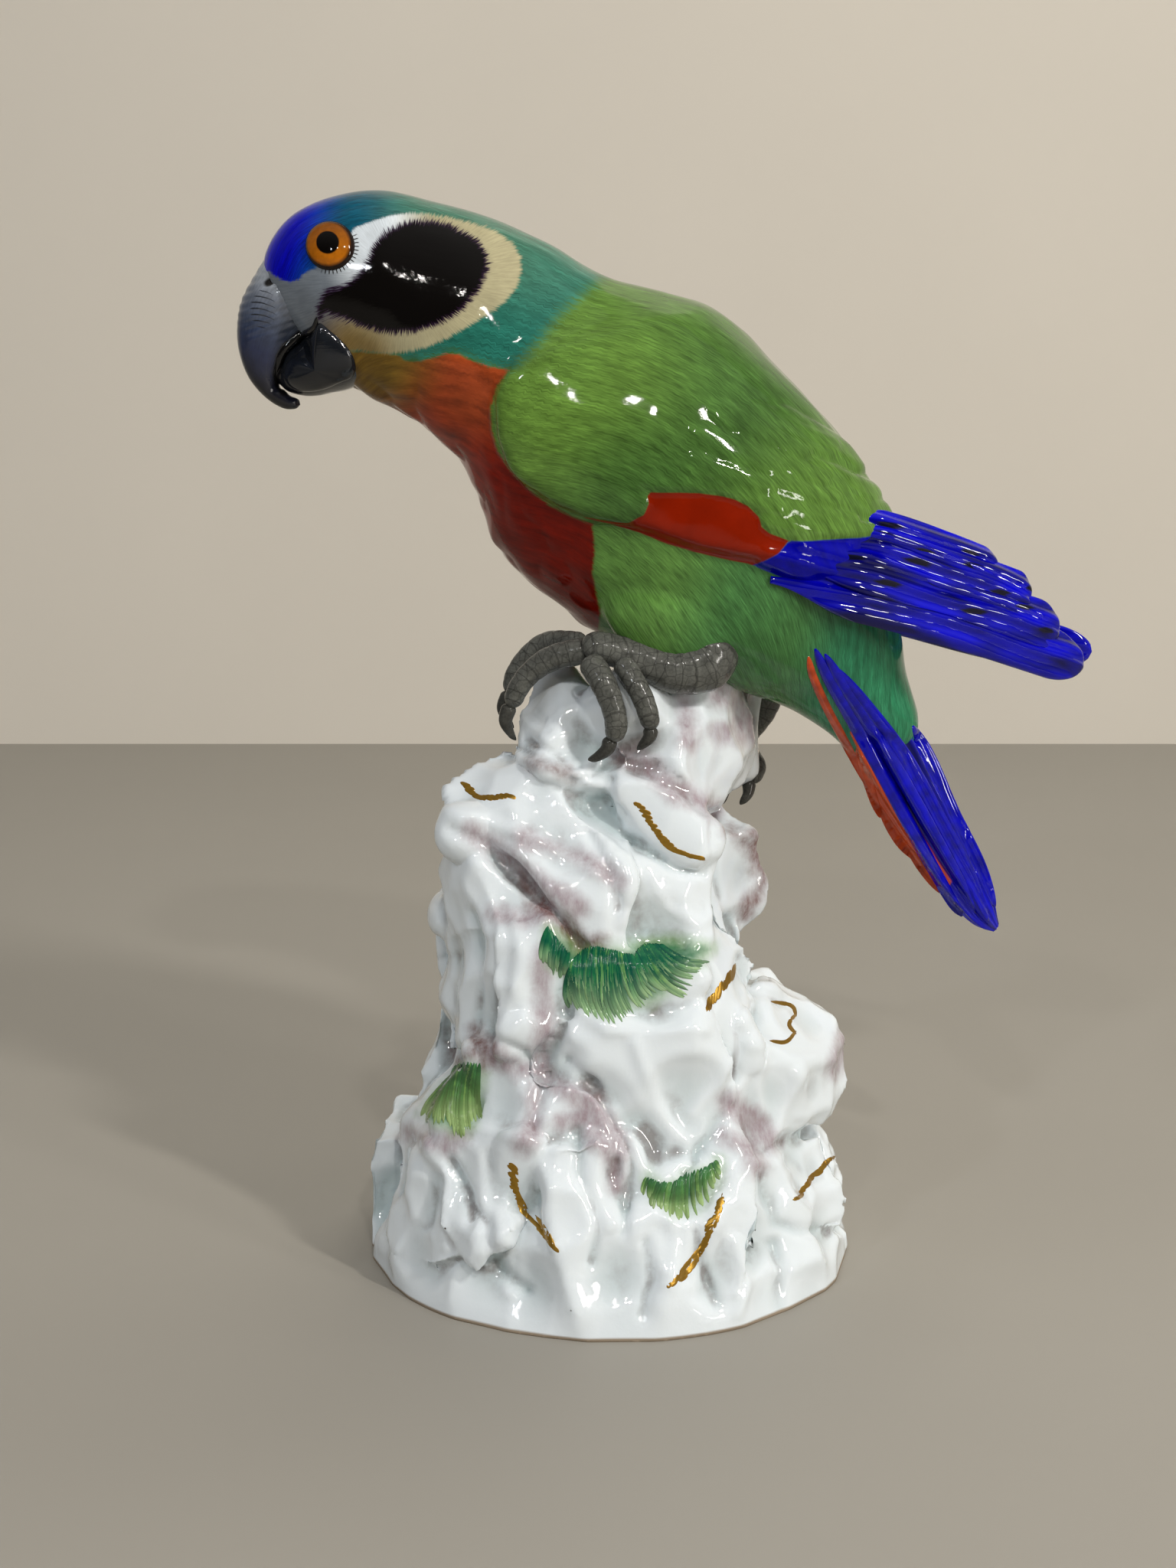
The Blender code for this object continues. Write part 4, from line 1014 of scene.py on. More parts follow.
def edgeDistance(edge, x, z):
    # distance past an open line, positive on the left of its run
    start, run = edge[:-1], np.diff(edge, axis=0)
    away = np.stack([x, z], -1)[..., None, :] - start
    along = np.clip((away * run).sum(-1) / (run * run).sum(-1), 0, 1)
    length = np.linalg.norm(away - along[..., None] * run, axis=-1)
    nearest = length.argmin(-1)[..., None]
    side = np.sign(np.take_along_axis(run[:, 0] * away[..., 1] - run[:, 1] * away[..., 0], nearest, -1))
    return (side * np.take_along_axis(length, nearest, -1))[..., 0]


def trunkForm():
    # the trunk's ovals, pushed out along their normals by the wing relief past the wing's edge
    rings = profileRings(trunk, body["width"], 200, 180)
    normal = np.cross(np.roll(rings, -1, axis=1) - np.roll(rings, 1, axis=1), np.gradient(rings, axis=0))
    normal /= np.linalg.norm(normal, axis=-1, keepdims=True) + 1e-12
    normal *= np.sign(((rings - rings.mean(1, keepdims=True)) * normal).sum(-1, keepdims=True))
    x, z = rings[..., 0], rings[..., 2] - perch
    softness = 4 + 25 * smoothStep((z - 78) / 26)
    proud = smoothStep(edgeDistance(wingEdge, x, z) / softness) * (1 - smoothStep((x - 84) / 6))
    return closedGrid((rings + normal * (proud * body["wingRelief"])[..., None]) * mm)


def capsule(pixels, root, tip, halfWidth):
    # 1 on the spine of a long feather, 0 at its rim, below 0 outside
    return 1 - lineDistance(pixels, readOff(wingView, [root, tip])) / halfWidth


def mixColours(below, above, share):
    return below + (above - below) * np.clip(share, 0, 1)[:, None]


def towards(pixels, view, mark, near, far):
    # 1 within near mm of a mark, falling to 0 at far mm
    gap = np.linalg.norm(pixels - readOff(view, mark), axis=1) * photoCamera["reach"] / mm
    return 1 - smoothStep((gap - near) / (far - near))


def layTones(pixels, ground, layers):
    # colours of the points: each layer is a tone, its share, and, for a soft spot, what towards takes
    colours = np.tile(linear(plumage[ground]), (len(pixels), 1))
    for tone, share, *spot in layers:
        if spot:
            share = share * towards(pixels, *spot)
        colours = mixColours(colours, np.array(linear(plumage[tone])), share)
    return colours


def bodyMesh():
    thighs = [lumpForm((18, -25, 19 + perch), (22, 12, 19), (0, 22, 0)),
              lumpForm((28, 24, 11 + perch), (26, 12, 19), (0, 30, 0))]
    mesh = fuseForms("body", [trunkForm()] + thighs, body["cell"], body["softening"])
    points = readPoints(mesh)
    pixels = photoPixels(points)
    # coverts ledge, and long rear coverts as overlapping rounded blades
    ledge = smoothStep((outlineDistance(pixels, outlines["coverts"]) + 0.5) / 1.4) * body["ledge"]
    ledge *= smoothStep((pixels[:, 1] - 430) / 110)
    blade = np.zeros(len(points))
    for root, tip, halfWidth in plumes:
        rise = np.sqrt(np.clip(capsule(pixels, root, tip, halfWidth) * 1.9, 0, 1))
        away = np.linalg.norm(pixels - readOff(wingView, root), axis=1) * photoCamera["reach"] / mm
        blade = np.maximum(blade, rise * (0.35 + 0.65 * smoothStep(away / 34)))
    wingSide = smoothStep((np.abs(points[:, 1]) / mm - 6) / 8)
    points = points + readNormals(mesh) * ((ledge + blade * body["plume"]) * wingSide * mm)[:, None]
    swell = 0.30 * latticeNoise(points, 0.014, 21) + 0.16 * latticeNoise(points, 0.0065, 22)
    swell += 0.9 * lineRelief(pixels, primaryLines, 1.5) * wingSide
    breastSide = smoothStep((outlineDistance(pixels, outlines["breast"]) + 4) / 10)
    swell += 1.0 * np.abs(latticeNoise(points, 0.0085, 23)) * breastSide
    points = points + readNormals(mesh) * (swell * mm)[:, None]
    movePoints(mesh, points)
    # flow along the spine and round it
    middle = resample((trunk[:, 0:2] + trunk[:, 2:4]) / 2, 120)
    across = resample(trunk[:, 0:2] - trunk[:, 2:4], 120)
    across /= np.linalg.norm(across, axis=1, keepdims=True)
    girth = resample(trunk[:, 4:5] * body["width"], 120)[:, 0].clip(8)
    spine = np.concatenate([[0], np.cumsum(np.linalg.norm(np.diff(middle, axis=0), axis=1))])
    flat = np.stack([points[:, 0] / mm, points[:, 2] / mm - perch], -1)
    run = np.stack([across[:, 1], -across[:, 0]], -1)
    sense = np.sign((np.gradient(middle, axis=0) * run).sum(-1))
    station, angle = np.empty((2, len(points)))
    for part in np.array_split(np.arange(len(points)), 12):
        away = flat[part, None] - middle
        off = (away * run).sum(-1)
        near = np.linalg.norm(away, axis=-1) + 4 * np.abs(off)
        k = near.argmin(1)
        pick = np.arange(len(part))
        station[part] = spine[k] + off[pick, k] * sense[k]
        angle[part] = np.arctan2(np.abs(points[part, 1]) / mm, (away * across).sum(-1)[pick, k])
    radius = np.interp(station, spine, girth)
    writeFlow(mesh, np.stack([station, angle * radius], -1) / 10)
    # painted borders and the soft colour changes between them
    pixels = photoPixels(points)
    for name, outline in outlines.items():
        writeValues(mesh, name, outlineDistance(pixels, outline))
    below = smoothStep(-outlineDistance(pixels, outlines["coverts"]) / 1.0) * (pixels[:, 0] > 760)
    rump = smoothStep((pixels[:, 0] + 0.35 * (pixels[:, 1] - 700) - 880) / 120) * below
    emerald = smoothStep((pixels[:, 0] + 0.3 * (pixels[:, 1] - 800) - 1040) / 90) * below
    sideways = (pixels[:, 0] - 300) * headView["zoom"] + 0.25 * (pixels[:, 1] - 230) * headView["zoom"]
    forehead = 1 - smoothStep((sideways - 370) / 260)
    pale = (1 - smoothStep((pixels[:, 0] - 500) / 70)) * (1 - smoothStep((pixels[:, 1] - 392) / 36))
    writeColours(mesh, "ground", layTones(pixels, "wing", [
        ("wingLight", 0.8, wingView, (330, 420), 12, 46), ("wingLight", 0.6, wingView, (120, 640), 8, 30),
        ("wingDeep", 0.6, wingView, (600, 850), 4, 34), ("wingDeep", 0.5, wingView, (1080, 560), 8, 44),
        ("wingLight", 0.5, wingView, (1300, 880), 8, 36), ("thigh", below), ("rump", rump),
        ("emerald", emerald)]))
    writeColours(mesh, "tealTone", layTones(pixels, "teal", [
        ("crown", 1.0, headView, (500, 140), 10, 38), ("forehead", forehead),
        ("nape", 0.85, headView, (1150, 130), 12, 34), ("nape", 0.6, headView, (1560, 330), 8, 30)]))
    # the lowest part of the breast in a darker red, as painted shade under the breast
    writeColours(mesh, "breastTone", layTones(pixels, "breast", [
        ("orange", 1.0, headView, (1200, 960), 8, 30), ("ochre", 1.0, headView, (700, 900), 6, 24),
        ("breastUnderShade", 0.8, wingView, (150, 1200), 10, 60)]))
    writeColours(mesh, "faceTone", layTones(pixels, "cream", [
        ("lores", pale), ("cere", 1.0, headView, (250, 620), 14, 24),
        ("ochre", 0.8, headView, (620, 880), 4, 15), ("ochre", 0.45, headView, (520, 760), 2, 10)]))
    # polar places round the eye and the black patch, for lashes and radiating strokes
    for name, mark in (("eye", (490, 338)), ("patch", (850, 500))):
        away = (pixels - readOff(headView, mark)) * photoCamera["reach"] / mm
        writeValues(mesh, name + "Gap", np.linalg.norm(away, axis=1))
        writeValues(mesh, name + "X", away[:, 0])
        writeValues(mesh, name + "Y", away[:, 1])
    return mesh


plumage = {  # fired colours, and breastUnderShade, a darker red that is painted shade
    "wing": "#4b6d2f", "wingLight": "#5d7f34", "wingDeep": "#2f4f26", "thigh": "#57803c", "rump": "#41703c",
    "emerald": "#2c7350", "teal": "#25685a", "crown": "#054c62", "nape": "#42705c", "ochre": "#70561e",
    "orange": "#98411e", "breast": "#841602", "breastUnderShade": "#5e0c02", "cream": "#a69f7e", "lores": "#c9d1d6",
    "cere": "#6a7178", "black": "#0a0807", "violet": "#2c1832", "forehead": "#0303a6", "redBend": "#7a1802",
    "cobalt": "#030390", "lash": "#17120e", "lid": "#2a1a10",
}


def plumageMaterial():
    # overglaze enamels, brushed in strokes of about 5 by 0.4 mm along the feathers and fired to a high gloss
    material, tree = newMaterial("overglaze enamel plumage")
    fine, broad = brushNoise(tree, 5.0, 0.40, 0.3, 3.0), brushNoise(tree, 14.0, 2.2, 1.7, 3.0)
    cloud = cloudNoise(tree, 110.0, 4.0)
    patchX, patchY, patchGap, eyeX, eyeY, eyeGap, black = (
        addNode(tree, "Attribute", out="Fac", attribute_name=name)
        for name in ("patchX", "patchY", "patchGap", "eyeX", "eyeY", "eyeGap", "black"))
    ground, teal, breast, face = (addNode(tree, "Attribute", out="Color", attribute_name=name)
                                  for name in ("ground", "tealTone", "breastTone", "faceTone"))
    # strokes that radiate from the black patch: noise over the turn angle, long across the ring
    turn = addNode(tree, "Math", {0: patchY, 1: patchX}, operation="ARCTAN2")
    ray = addNode(tree, "Mapping", {"Vector": addNode(tree, "CombineXYZ", {0: turn, 1: patchGap}),
                                    "Scale": (58.0, 0.22, 1)})
    spikes = addNode(tree, "TexNoise", {"Vector": ray, "Scale": 1.0, "Detail": 3.0, "Roughness": 0.6},
                     noise_dimensions="2D")
    spikes = addNode(tree, "Math", {0: spikes, 1: 0.5}, operation="SUBTRACT")
    colour = shade(tree, shade(tree, shade(tree, ground, fine, 1.5), broad, 0.9), cloud, 0.6)
    teal = shade(tree, shade(tree, teal, fine, 1.5), broad, 0.8)
    breast = shade(tree, shade(tree, shade(tree, breast, broad, 1.3), cloud, 0.9), fine, 0.5)
    face = shade(tree, shade(tree, face, spikes, 0.55), cloud, 0.5)
    red, blue = shade(tree, plumage["redBend"], cloud, 0.7), shade(tree, plumage["cobalt"], broad, 0.8)
    for tone, edge, softness, ragged, brush in (
            (teal, "teal", 2.8, 9.0, fine), (breast, "breast", 0.5, 1.6, fine),
            (red, "redBend", 0.25, 0.5, cloud), (blue, "blueRoots", 0.3, 0.6, cloud),
            (face, "face", 0.7, 2.2, spikes), (plumage["violet"], "black", 0.7, 5.0, spikes)):
        colour = paintLayer(tree, colour, tone, edge, softness, ragged, brush)
    inner = addNode(tree, "Math", {0: spikes, 1: 4.5, 2: black}, operation="MULTIPLY_ADD")
    colour = layOver(tree, colour, plumage["black"], inner, 0.2, 1.5, blend="SMOOTHSTEP")
    colour = paintLayer(tree, colour, teal, "cap", 0.45, 1.2, fine)
    # lashes: short dark strokes round the lower back of the eye, 1.0 mm apart and 1.5 mm long
    eyeTurn = addNode(tree, "Math", {0: eyeY, 1: eyeX}, operation="ARCTAN2")
    wave = addNode(tree, "Math", {0: eyeTurn, 1: 44.0}, operation="MULTIPLY")
    wave = addNode(tree, "Math", {0: wave}, operation="SINE")
    lash = addNode(tree, "MapRange", {"Value": wave, "From Min": 0.45, "From Max": 0.8})
    for value, low, high in ((eyeGap, 6.9, 7.1), (eyeGap, 8.5, 8.0), (eyeTurn, -0.55, -0.35),
                             (eyeTurn, 2.0, 1.8)):
        window = addNode(tree, "MapRange", {"Value": value, "From Min": low, "From Max": high})
        lash = addNode(tree, "Math", {0: lash, 1: window}, operation="MULTIPLY")
    colour = layOver(tree, colour, plumage["lash"], lash, 0, 1)
    colour = layOver(tree, colour, plumage["lid"], eyeGap, 7.2, 6.5, 0.9, "SMOOTHSTEP")
    gloss = addNode(tree, "MapRange", {"Value": broad, "From Min": -0.3, "From Max": 0.3, "To Min": 0.04,
                                       "To Max": 0.08})
    brushwork = addNode(tree, "Math", {0: fine, 1: 0.25, 2: broad}, operation="MULTIPLY_ADD")
    glaze(tree, colour, brushwork, 0.04, gloss)
    return material


bodySkin = bodyMesh()
placePiece("body", bodySkin, plumageMaterial())
bodyTree = skinTree(bodySkin)
print("body", len(bodySkin.polygons))


# flight feathers and tail

flight = {"thickness": 6.0, "width": 15.5, "rows": 150, "around": 60}
nearFeathers = [  # x, distance from the middle plane, height, from root to tip
    [(44, 39, 26), (68, 34, 21), (94, 25.5, 13.5), (118, 17, 5.5), (139, 10, -2)],
    [(48, 38, 32), (72, 32.5, 27), (94, 24, 19), (116, 17, 13), (131, 12, 8)],
    [(54, 32, 37), (76, 27, 34), (96, 21, 27), (112, 16, 21), (122, 13, 17)],
    [(60, 29, 41), (80, 24, 36), (97, 18, 30), (112, 14, 24)],
]
farFeathers = [
    [(44, 35, 21), (68, 32, 14), (94, 26, 8), (120, 18, 2), (146, 11, -1)],
    [(48, 34, 26), (72, 30, 20), (94, 24, 14), (118, 17, 9), (136, 12, 4)],
    [(54, 32, 30), (76, 27, 26), (96, 21, 20), (114, 16, 15), (125, 13, 12)],
    [(60, 29, 34), (80, 24, 30), (97, 18, 24), (111, 14, 18)],
]
tail = {"width": 27, "depth": 20, "rows": 220, "around": 144}
tailTable = np.array([  # x, height, depth share, width share
    (72, -10, 0.80, 0.60), (79, -22, 0.96, 1.00), (87.5, -38, 0.92, 0.98), (98, -56, 0.76, 0.84),
    (108, -72, 0.58, 0.66), (113.5, -80, 0.42, 0.50), (117.5, -84.5, 0.14, 0.18),
])
cobalt = {"deep": "#010148", "thin": "#0303b8", "dash": "#07071f", "ironRed": "#b8431a", "mirror": 0.34}


def cobaltMaterial(name, edge, tone, grain, softness, ragged):
    # cobalt enamel: deep and glassy, thinner and deeper in broad brush streaks, with a second paint that
    # keeps inside an edge
    material, tree = newMaterial(name)
    fine, broad = brushNoise(tree, 9.0, 0.5, 0.9, 3.0), brushNoise(tree, 26.0, 4.5, 2.3, 2.0)
    colour = shade(tree, layOver(tree, cobalt["deep"], cobalt["thin"], broad, -0.2, 0.22), fine, 0.4)
    colour = paintLayer(tree, colour, shade(tree, tone, fine, grain), edge, softness, ragged, fine)
    glaze(tree, colour, broad, 0.03, 0.06, cobalt["mirror"])
    return material


def featherRings(path, side):
    # a flattened oval blade: rise * cos a along the upright, a shaft rib and shallow barbs across it
    rows, around = flight["rows"], flight["around"]
    line = resample(path, rows) * (1, side, 1) + (0, 0, perch)
    share = np.linspace(0, 1, rows)
    tip = np.sqrt(np.clip(1 - ((share - 0.86) / 0.14).clip(0, 1) ** 2, 0.0004, 1))
    swell = (0.14 + 0.86 * smoothStep(share * 3.6)) * tip
    along = np.gradient(line, axis=0)
    along /= np.linalg.norm(along, axis=1, keepdims=True)
    upright = np.tile(np.array([0.0, -0.34 * side, 0.94]), (rows, 1))
    upright -= along * (upright * along).sum(1, keepdims=True)
    upright /= np.linalg.norm(upright, axis=1, keepdims=True)
    outward = np.cross(along, upright)
    angle = np.linspace(0, 2 * np.pi, around, endpoint=False)
    rise = np.cos(angle)[None, :] * swell[:, None] * flight["width"] / 2
    depth = np.sin(angle)[None, :] * swell[:, None] * flight["thickness"] / 2
    # shaft: a 0.6 mm rib a little below the middle; vane ripples of 0.62 mm that slant back from it
    rib = 0.6 * np.exp(-((rise + 1.2) / 0.9) ** 2) * np.sign(depth)
    length = share[:, None] * np.linalg.norm(line[-1] - line[0])
    bend = 0.6 * np.sin(length / 9 + side)
    ripple = (0.62 * np.cos(2 * np.pi * (rise + 0.02 * length + bend) / 4.9)
              + 0.03 * np.sin(2 * np.pi * (length - 0.8 * np.abs(rise)) / 7.5)) * np.sign(depth)
    fade = np.abs(np.sin(angle))[None, :] ** 0.5 * swell[:, None]
    depth = depth + (rib + ripple) * fade
    rings = line[:, None] + upright[:, None] * rise[..., None] + outward[:, None] * depth[..., None]
    # painted dashes of 8 by 1.6 mm: 1 - (along / 4)^2 - (across / 0.8)^2
    dash = np.full(rise.shape, -1.0)
    for k in range(1, 8):
        lengthways = length - 13.5 * k - 3 * (k % 2)
        crossways = rise - (2.6 if k % 2 else -2.2) - 0.1 * (length - 13.5 * k)
        dash = np.maximum(dash, 1 - (lengthways / 4) ** 2 - (crossways / 0.8) ** 2)
    return rings * mm, length[:, 0] * mm, (rise + 40 * (side + 2)) * mm, np.append(dash.ravel(), [-1, -1])


flightPaint = cobaltMaterial("cobalt enamel flight feathers", "dash", cobalt["dash"], 0.0, 0.5, 0.9)
for wing, side, feathers in (("near", -1, nearFeathers), ("far", 1, farFeathers)):
    for number, path in enumerate(feathers):
        rings, along, across, dash = featherRings(path, side)
        mesh = writeMesh(f"{wing}Feather{number}", *closedGrid(rings))
        writeFlow(mesh, gridPlaces(rings, along + 0.013 * number, across))
        writeValues(mesh, "dash", dash if number else np.full(len(dash), -1.0))
        placePiece(f"{wing}Feather{number}", mesh, flightPaint)


def tailRings():
    # roof shaped: depth * cos a, width * sin a * (1 - 0.38 cos a), with the vanes as ridges along it
    rows = resample(tailTable, tail["rows"])
    run = np.gradient(rows[:, 0:2], axis=0)
    run /= np.linalg.norm(run, axis=1, keepdims=True)
    back = np.stack([-run[:, 1], run[:, 0]], 1)
    angle = np.linspace(0, 2 * np.pi, tail["around"], endpoint=False)
    vane = 1 + 0.085 * np.cos(8 * angle) + 0.03 * np.cos(19 * angle + 1)
    depth = rows[:, 2, None] * tail["depth"] / 2 * (vane * np.cos(angle))
    width = rows[:, 3, None] * tail["width"] / 2 * (vane * np.sin(angle) * (1 - 0.38 * np.cos(angle)))
    flat = rows[:, None, 0:2] + back[:, None] * depth[..., None]
    length = np.concatenate([[0], np.cumsum(np.linalg.norm(np.diff(rows[:, 0:2], axis=0), axis=1))])
    rings = np.stack([flat[..., 0], width, flat[..., 1] + perch], -1) * mm
    return rings, length * mm, angle / (2 * np.pi) * 60 * mm, np.abs((angle - np.pi) / np.pi)


rings, along, across, rim = tailRings()
tailMesh = writeMesh("tail", *closedGrid(rings))
writeFlow(tailMesh, gridPlaces(rings, along, across))
tipward = smoothStep((along / along[-1] - 0.74) / 0.08)[:, None]
under = np.append((0.36 - rim - tipward * np.ones(rings.shape[:2])).ravel(), [-1, -1])
writeValues(tailMesh, "under", under)
tailPaint = cobaltMaterial("cobalt and iron-red tail", "under", cobalt["ironRed"], 0.9, 0.03, 0.05)
placePiece("tail", tailMesh, tailPaint)

tailTree = skinTree(bodySkin, tailMesh)


def bladeMaterial(name, tone, deep):
    # one enamel over a raised vane, in darker and lighter clouds
    material, tree = newMaterial(name)
    cloud = cloudNoise(tree, 260.0, 4.0)
    glaze(tree, layOver(tree, deep, tone, cloud, -0.4, 0.15), cloud, 0.02, 0.06, cobalt["mirror"])
    return material


tailBlades = {
    "blue": ([
        [(541, 288), (560, 330), (600, 400), (650, 490), (700, 585), (745, 665), (765, 695)],
        [(556, 296), (585, 345), (640, 430), (695, 520), (745, 610), (785, 690)],
        [(575, 318), (620, 375), (680, 455), (730, 545), (775, 630), (805, 702)],
        [(690, 405), (715, 455), (752, 540), (790, 615), (815, 680)],
    ], 4.2, 1.3, "#0303ac", "#01014c"),
    "red": ([
        [(531, 300), (538, 330), (560, 380), (592, 440), (625, 505)],
        [(604, 440), (622, 490), (640, 545)], [(640, 530), (668, 580), (700, 612)],
        [(684, 592), (706, 625), (734, 660)],
    ], 2.6, 0.8, "#c2481a", "#6e2410"),
}
for tone, (paths, width, proud, light, deep) in tailBlades.items():
    drawn = [readOff(rearView, path) for path in paths]
    mesh = layStrokes(f"{tone}TailVanes", tailTree, drawn, np.full(len(drawn), width), proud, 60, 24,
                      sides=(1, -1))
    vanePaint = bladeMaterial(f"{tone} enamel vanes", light, deep)
    placePiece(f"{tone}TailVanes", mesh, vanePaint)
print("feathers and tail")


# bill and eyes

bill = {
    "width": 22, "rows": 190, "around": 110,
    "lower": "#14161b", "edge": "#3d444b", "jaw": "#15181d", "gape": "#0b0a0b",
    "hatch": "#26282c", "lip": "#0d0c0d", "nostril": "#171514",
}
upperBill = np.array([  # outer x, z, inner x, z, width share
    (-99, 117, -80, 106, 0.30), (-103, 111, -81, 99, 0.50), (-107.5, 103, -85, 96, 0.47),
    (-109, 95, -90, 92.5, 0.39), (-108.5, 88, -95, 87, 0.31), (-106, 81, -97.5, 82, 0.235),
    (-101.5, 75.5, -97.5, 78, 0.165), (-96.5, 72.3, -94.5, 76, 0.125), (-92.8, 72, -92.4, 75.2, 0.09),
    (-91.2, 73.2, -91.5, 74.6, 0.02),
])
lowerBill = np.array([
    (-68, 88, -69, 83, 0.50), (-71, 92, -72, 79.8, 0.72), (-76, 95, -77, 77.6, 0.78),
    (-82, 95, -82, 76.6, 0.70),
    (-87, 93.5, -86, 75.8, 0.56), (-92, 90.5, -90, 75.8, 0.40), (-96, 85.5, -94.5, 77, 0.24),
    (-98, 82.5, -97.5, 79.5, 0.06),
])
billTones = [  # depth down the bill in the head view, and its colour
    (400, "#a6abb0"), (520, "#90969c"), (600, "#747a84"), (700, "#505868"), (800, "#333c52"),
    (900, "#222944"), (1000, "#191d2e"), (1100, "#100f12"),
]


def billMesh(name, table, upper):
    rings = profileRings(table, bill["width"], bill["rows"], bill["around"]) * mm
    mesh = writeMesh(name, *closedGrid(rings))
    points = readPoints(mesh)
    pixels = photoPixels(points)
    normals = readNormals(mesh)
    lip = lineDistance(pixels, readOff(headView, [
        (440, 690), (412, 738), (370, 768), (320, 798), (276, 838), (248, 885), (236, 940), (240, 1000),
        (262, 1046)]))
    if upper:
        # thick cutting edge, sunk nostril, and growth lines across the cere
        nostril = np.linalg.norm((pixels - readOff(headView, (192, 512))) @ [[0.82, 0.57], [-0.57, 0.82]]
                                 / [8.5, 5.0], axis=1)
        lines = np.sin((pixels[:, 1] + 0.35 * pixels[:, 0]) * 0.62)
        near = towards(pixels, headView, (190, 620), 6, 14)
        push = 0.9 * np.exp(-(lip / 1.6) ** 2) - 0.9 * np.exp(-nostril**2) + 0.12 * lines * near
        writeValues(mesh, "nostril", 1 - nostril)
        # hatch strokes: arcs 1.75 mm apart, as long as the spot they lie in
        wide, high = (pixels - readOff(headView, (165, 650))).T * photoCamera["reach"] / mm
        arc = np.cos(2 * np.pi * (high - 0.25 * wide - 0.05 * wide**2) / 1.75)
        writeValues(mesh, "hatch", arc - 0.72 - smoothStep((wide**2 / 26 + high**2 / 56 - 0.4) / 0.6))
        points = points + normals * (push * mm)[:, None]
        movePoints(mesh, points)
    stops = [stop for stop, _ in billTones]
    tones = np.array([linear(tone) for _, tone in billTones])
    down = (pixels[:, 1] - headView["corner"][1]) * headView["zoom"]
    down -= 0.55 * ((pixels[:, 0] - headView["corner"][0]) * headView["zoom"] - 230).clip(-120, 220)
    colours = np.stack([np.interp(down, stops, tones[:, k]) for k in range(4)], -1)
    if not upper:
        colours = np.tile(linear(bill["lower"]), (len(points), 1))
        edge = towards(pixels, headView, (590, 900), 1, 12)
        colours = mixColours(colours, np.array(linear(bill["edge"])), 0.7 * edge)
    writeColours(mesh, "tone", colours)
    writeValues(mesh, "lip", 1.7 - lip)
    length = np.linspace(0, 60 * mm, bill["rows"])
    writeFlow(mesh, gridPlaces(rings, length, np.abs(np.linspace(-1, 1, bill["around"])) * 30 * mm))
    return mesh


def billMaterial(name, upper):
    # slate and blue-black enamel, wiped on wet and fired glossy
    material, tree = newMaterial(name)
    fine, cloud = brushNoise(tree, 6.0, 0.5, 0.1, 3.0), cloudNoise(tree, 240.0, 4.0)
    colour = addNode(tree, "Attribute", out="Color", attribute_name="tone")
    colour = shade(tree, shade(tree, colour, cloud, 1.1), fine, 0.5)
    for edge, softness, ragged in (("hatch", 0.2, 0.5), ("lip", 0.5, 1.5), ("nostril", 0.3, 0.3)):
        if upper:
            colour = paintLayer(tree, colour, bill[edge], edge, softness, ragged, cloud)
    glaze(tree, colour, fine, 0.04, 0.07, 0.5)
    return material


upperSkin, lowerSkin = billMesh("upperBill", upperBill, True), billMesh("lowerBill", lowerBill, False)
lowerPaint = billMaterial("blue-black enamel bill", False)
placePiece("upperBill", upperSkin, billMaterial("slate enamel bill", True))
placePiece("lowerBill", lowerSkin, lowerPaint)
faceTree = skinTree(bodySkin, upperSkin, lowerSkin)


def castDome(tree, outline, bulge, side, rings=48, sides=128):
    # rings shrunk by k from the outline to its middle, cast on the skin, raised by bulge * sqrt(1 - k^2),
    # with a sunk rim
    rim = resample(np.vstack([outline, outline[:1]]), sides + 1)[:-1]
    middle = rim.mean(0)
    k = np.append(np.linspace(0.01, 1, rings), 1)
    edge, normal = castOn(tree, rim)
    for _ in range(12):
        edge = (np.roll(edge, 1, 0) + edge + np.roll(edge, -1, 0)) / 3
    peak = castOn(tree, middle[None])[0][0]
    skin = peak + k[:, None, None] * (edge - peak)
    pixels = middle + k[:, None, None] * (rim - middle)
    normal = normal.mean(0)
    dome = bulge * np.sqrt(1 - np.minimum(k, 1) ** 2) - 0.12
    dome[-1] = -2.0
    return (skin + normal / np.linalg.norm(normal) * (dome * mm)[:, None, None]) * (1, -side, 1), pixels


def placeDark(mesh, tone):
    # a piece in the lower bill's enamel, of one tone, with strokes along the side plane
    places = readPoints(mesh)
    writeColours(mesh, "tone", np.tile(linear(tone), (len(places), 1)))
    writeFlow(mesh, places[:, [0, 2]] * 100)
    placePiece(mesh.name, mesh, lowerPaint)


gape = [(425, 688), (412, 738), (370, 768), (320, 798), (276, 838), (248, 885), (238, 940), (242, 1000)]
jaw = readOff(headView, [(434, 700), (478, 745), (540, 795), (594, 860), (618, 925), (606, 975), (560, 992),
                         (480, 1030), (400, 1046), (330, 1040), (285, 1010), (258, 960), (262, 890),
                         (300, 838), (350, 800), (400, 765)])
for name, side in (("leftJaw", -1), ("rightJaw", 1)):
    rings, pixels = castDome(faceTree, jaw, 4.2, side)
    mesh = writeMesh(name, *closedGrid(rings))
    placeDark(mesh, bill["jaw"])
lipMesh = layStrokes("gapeLip", faceTree, [readOff(headView, gape)], [2.3], 1.3, 80, 24, sides=(1, -1))
placeDark(lipMesh, bill["gape"])

eyeball = {
    "mark": (490, 340), "pupilMark": (495, 342), "reach": 7.1, "bulge": 3.0, "pupil": 3.25,
    # brow is the darker tone of the painted shade at the top of the iris
    "amber": "#a8600f", "brow": "#74400b", "limbus": "#1d110b", "black": "#070504",
}


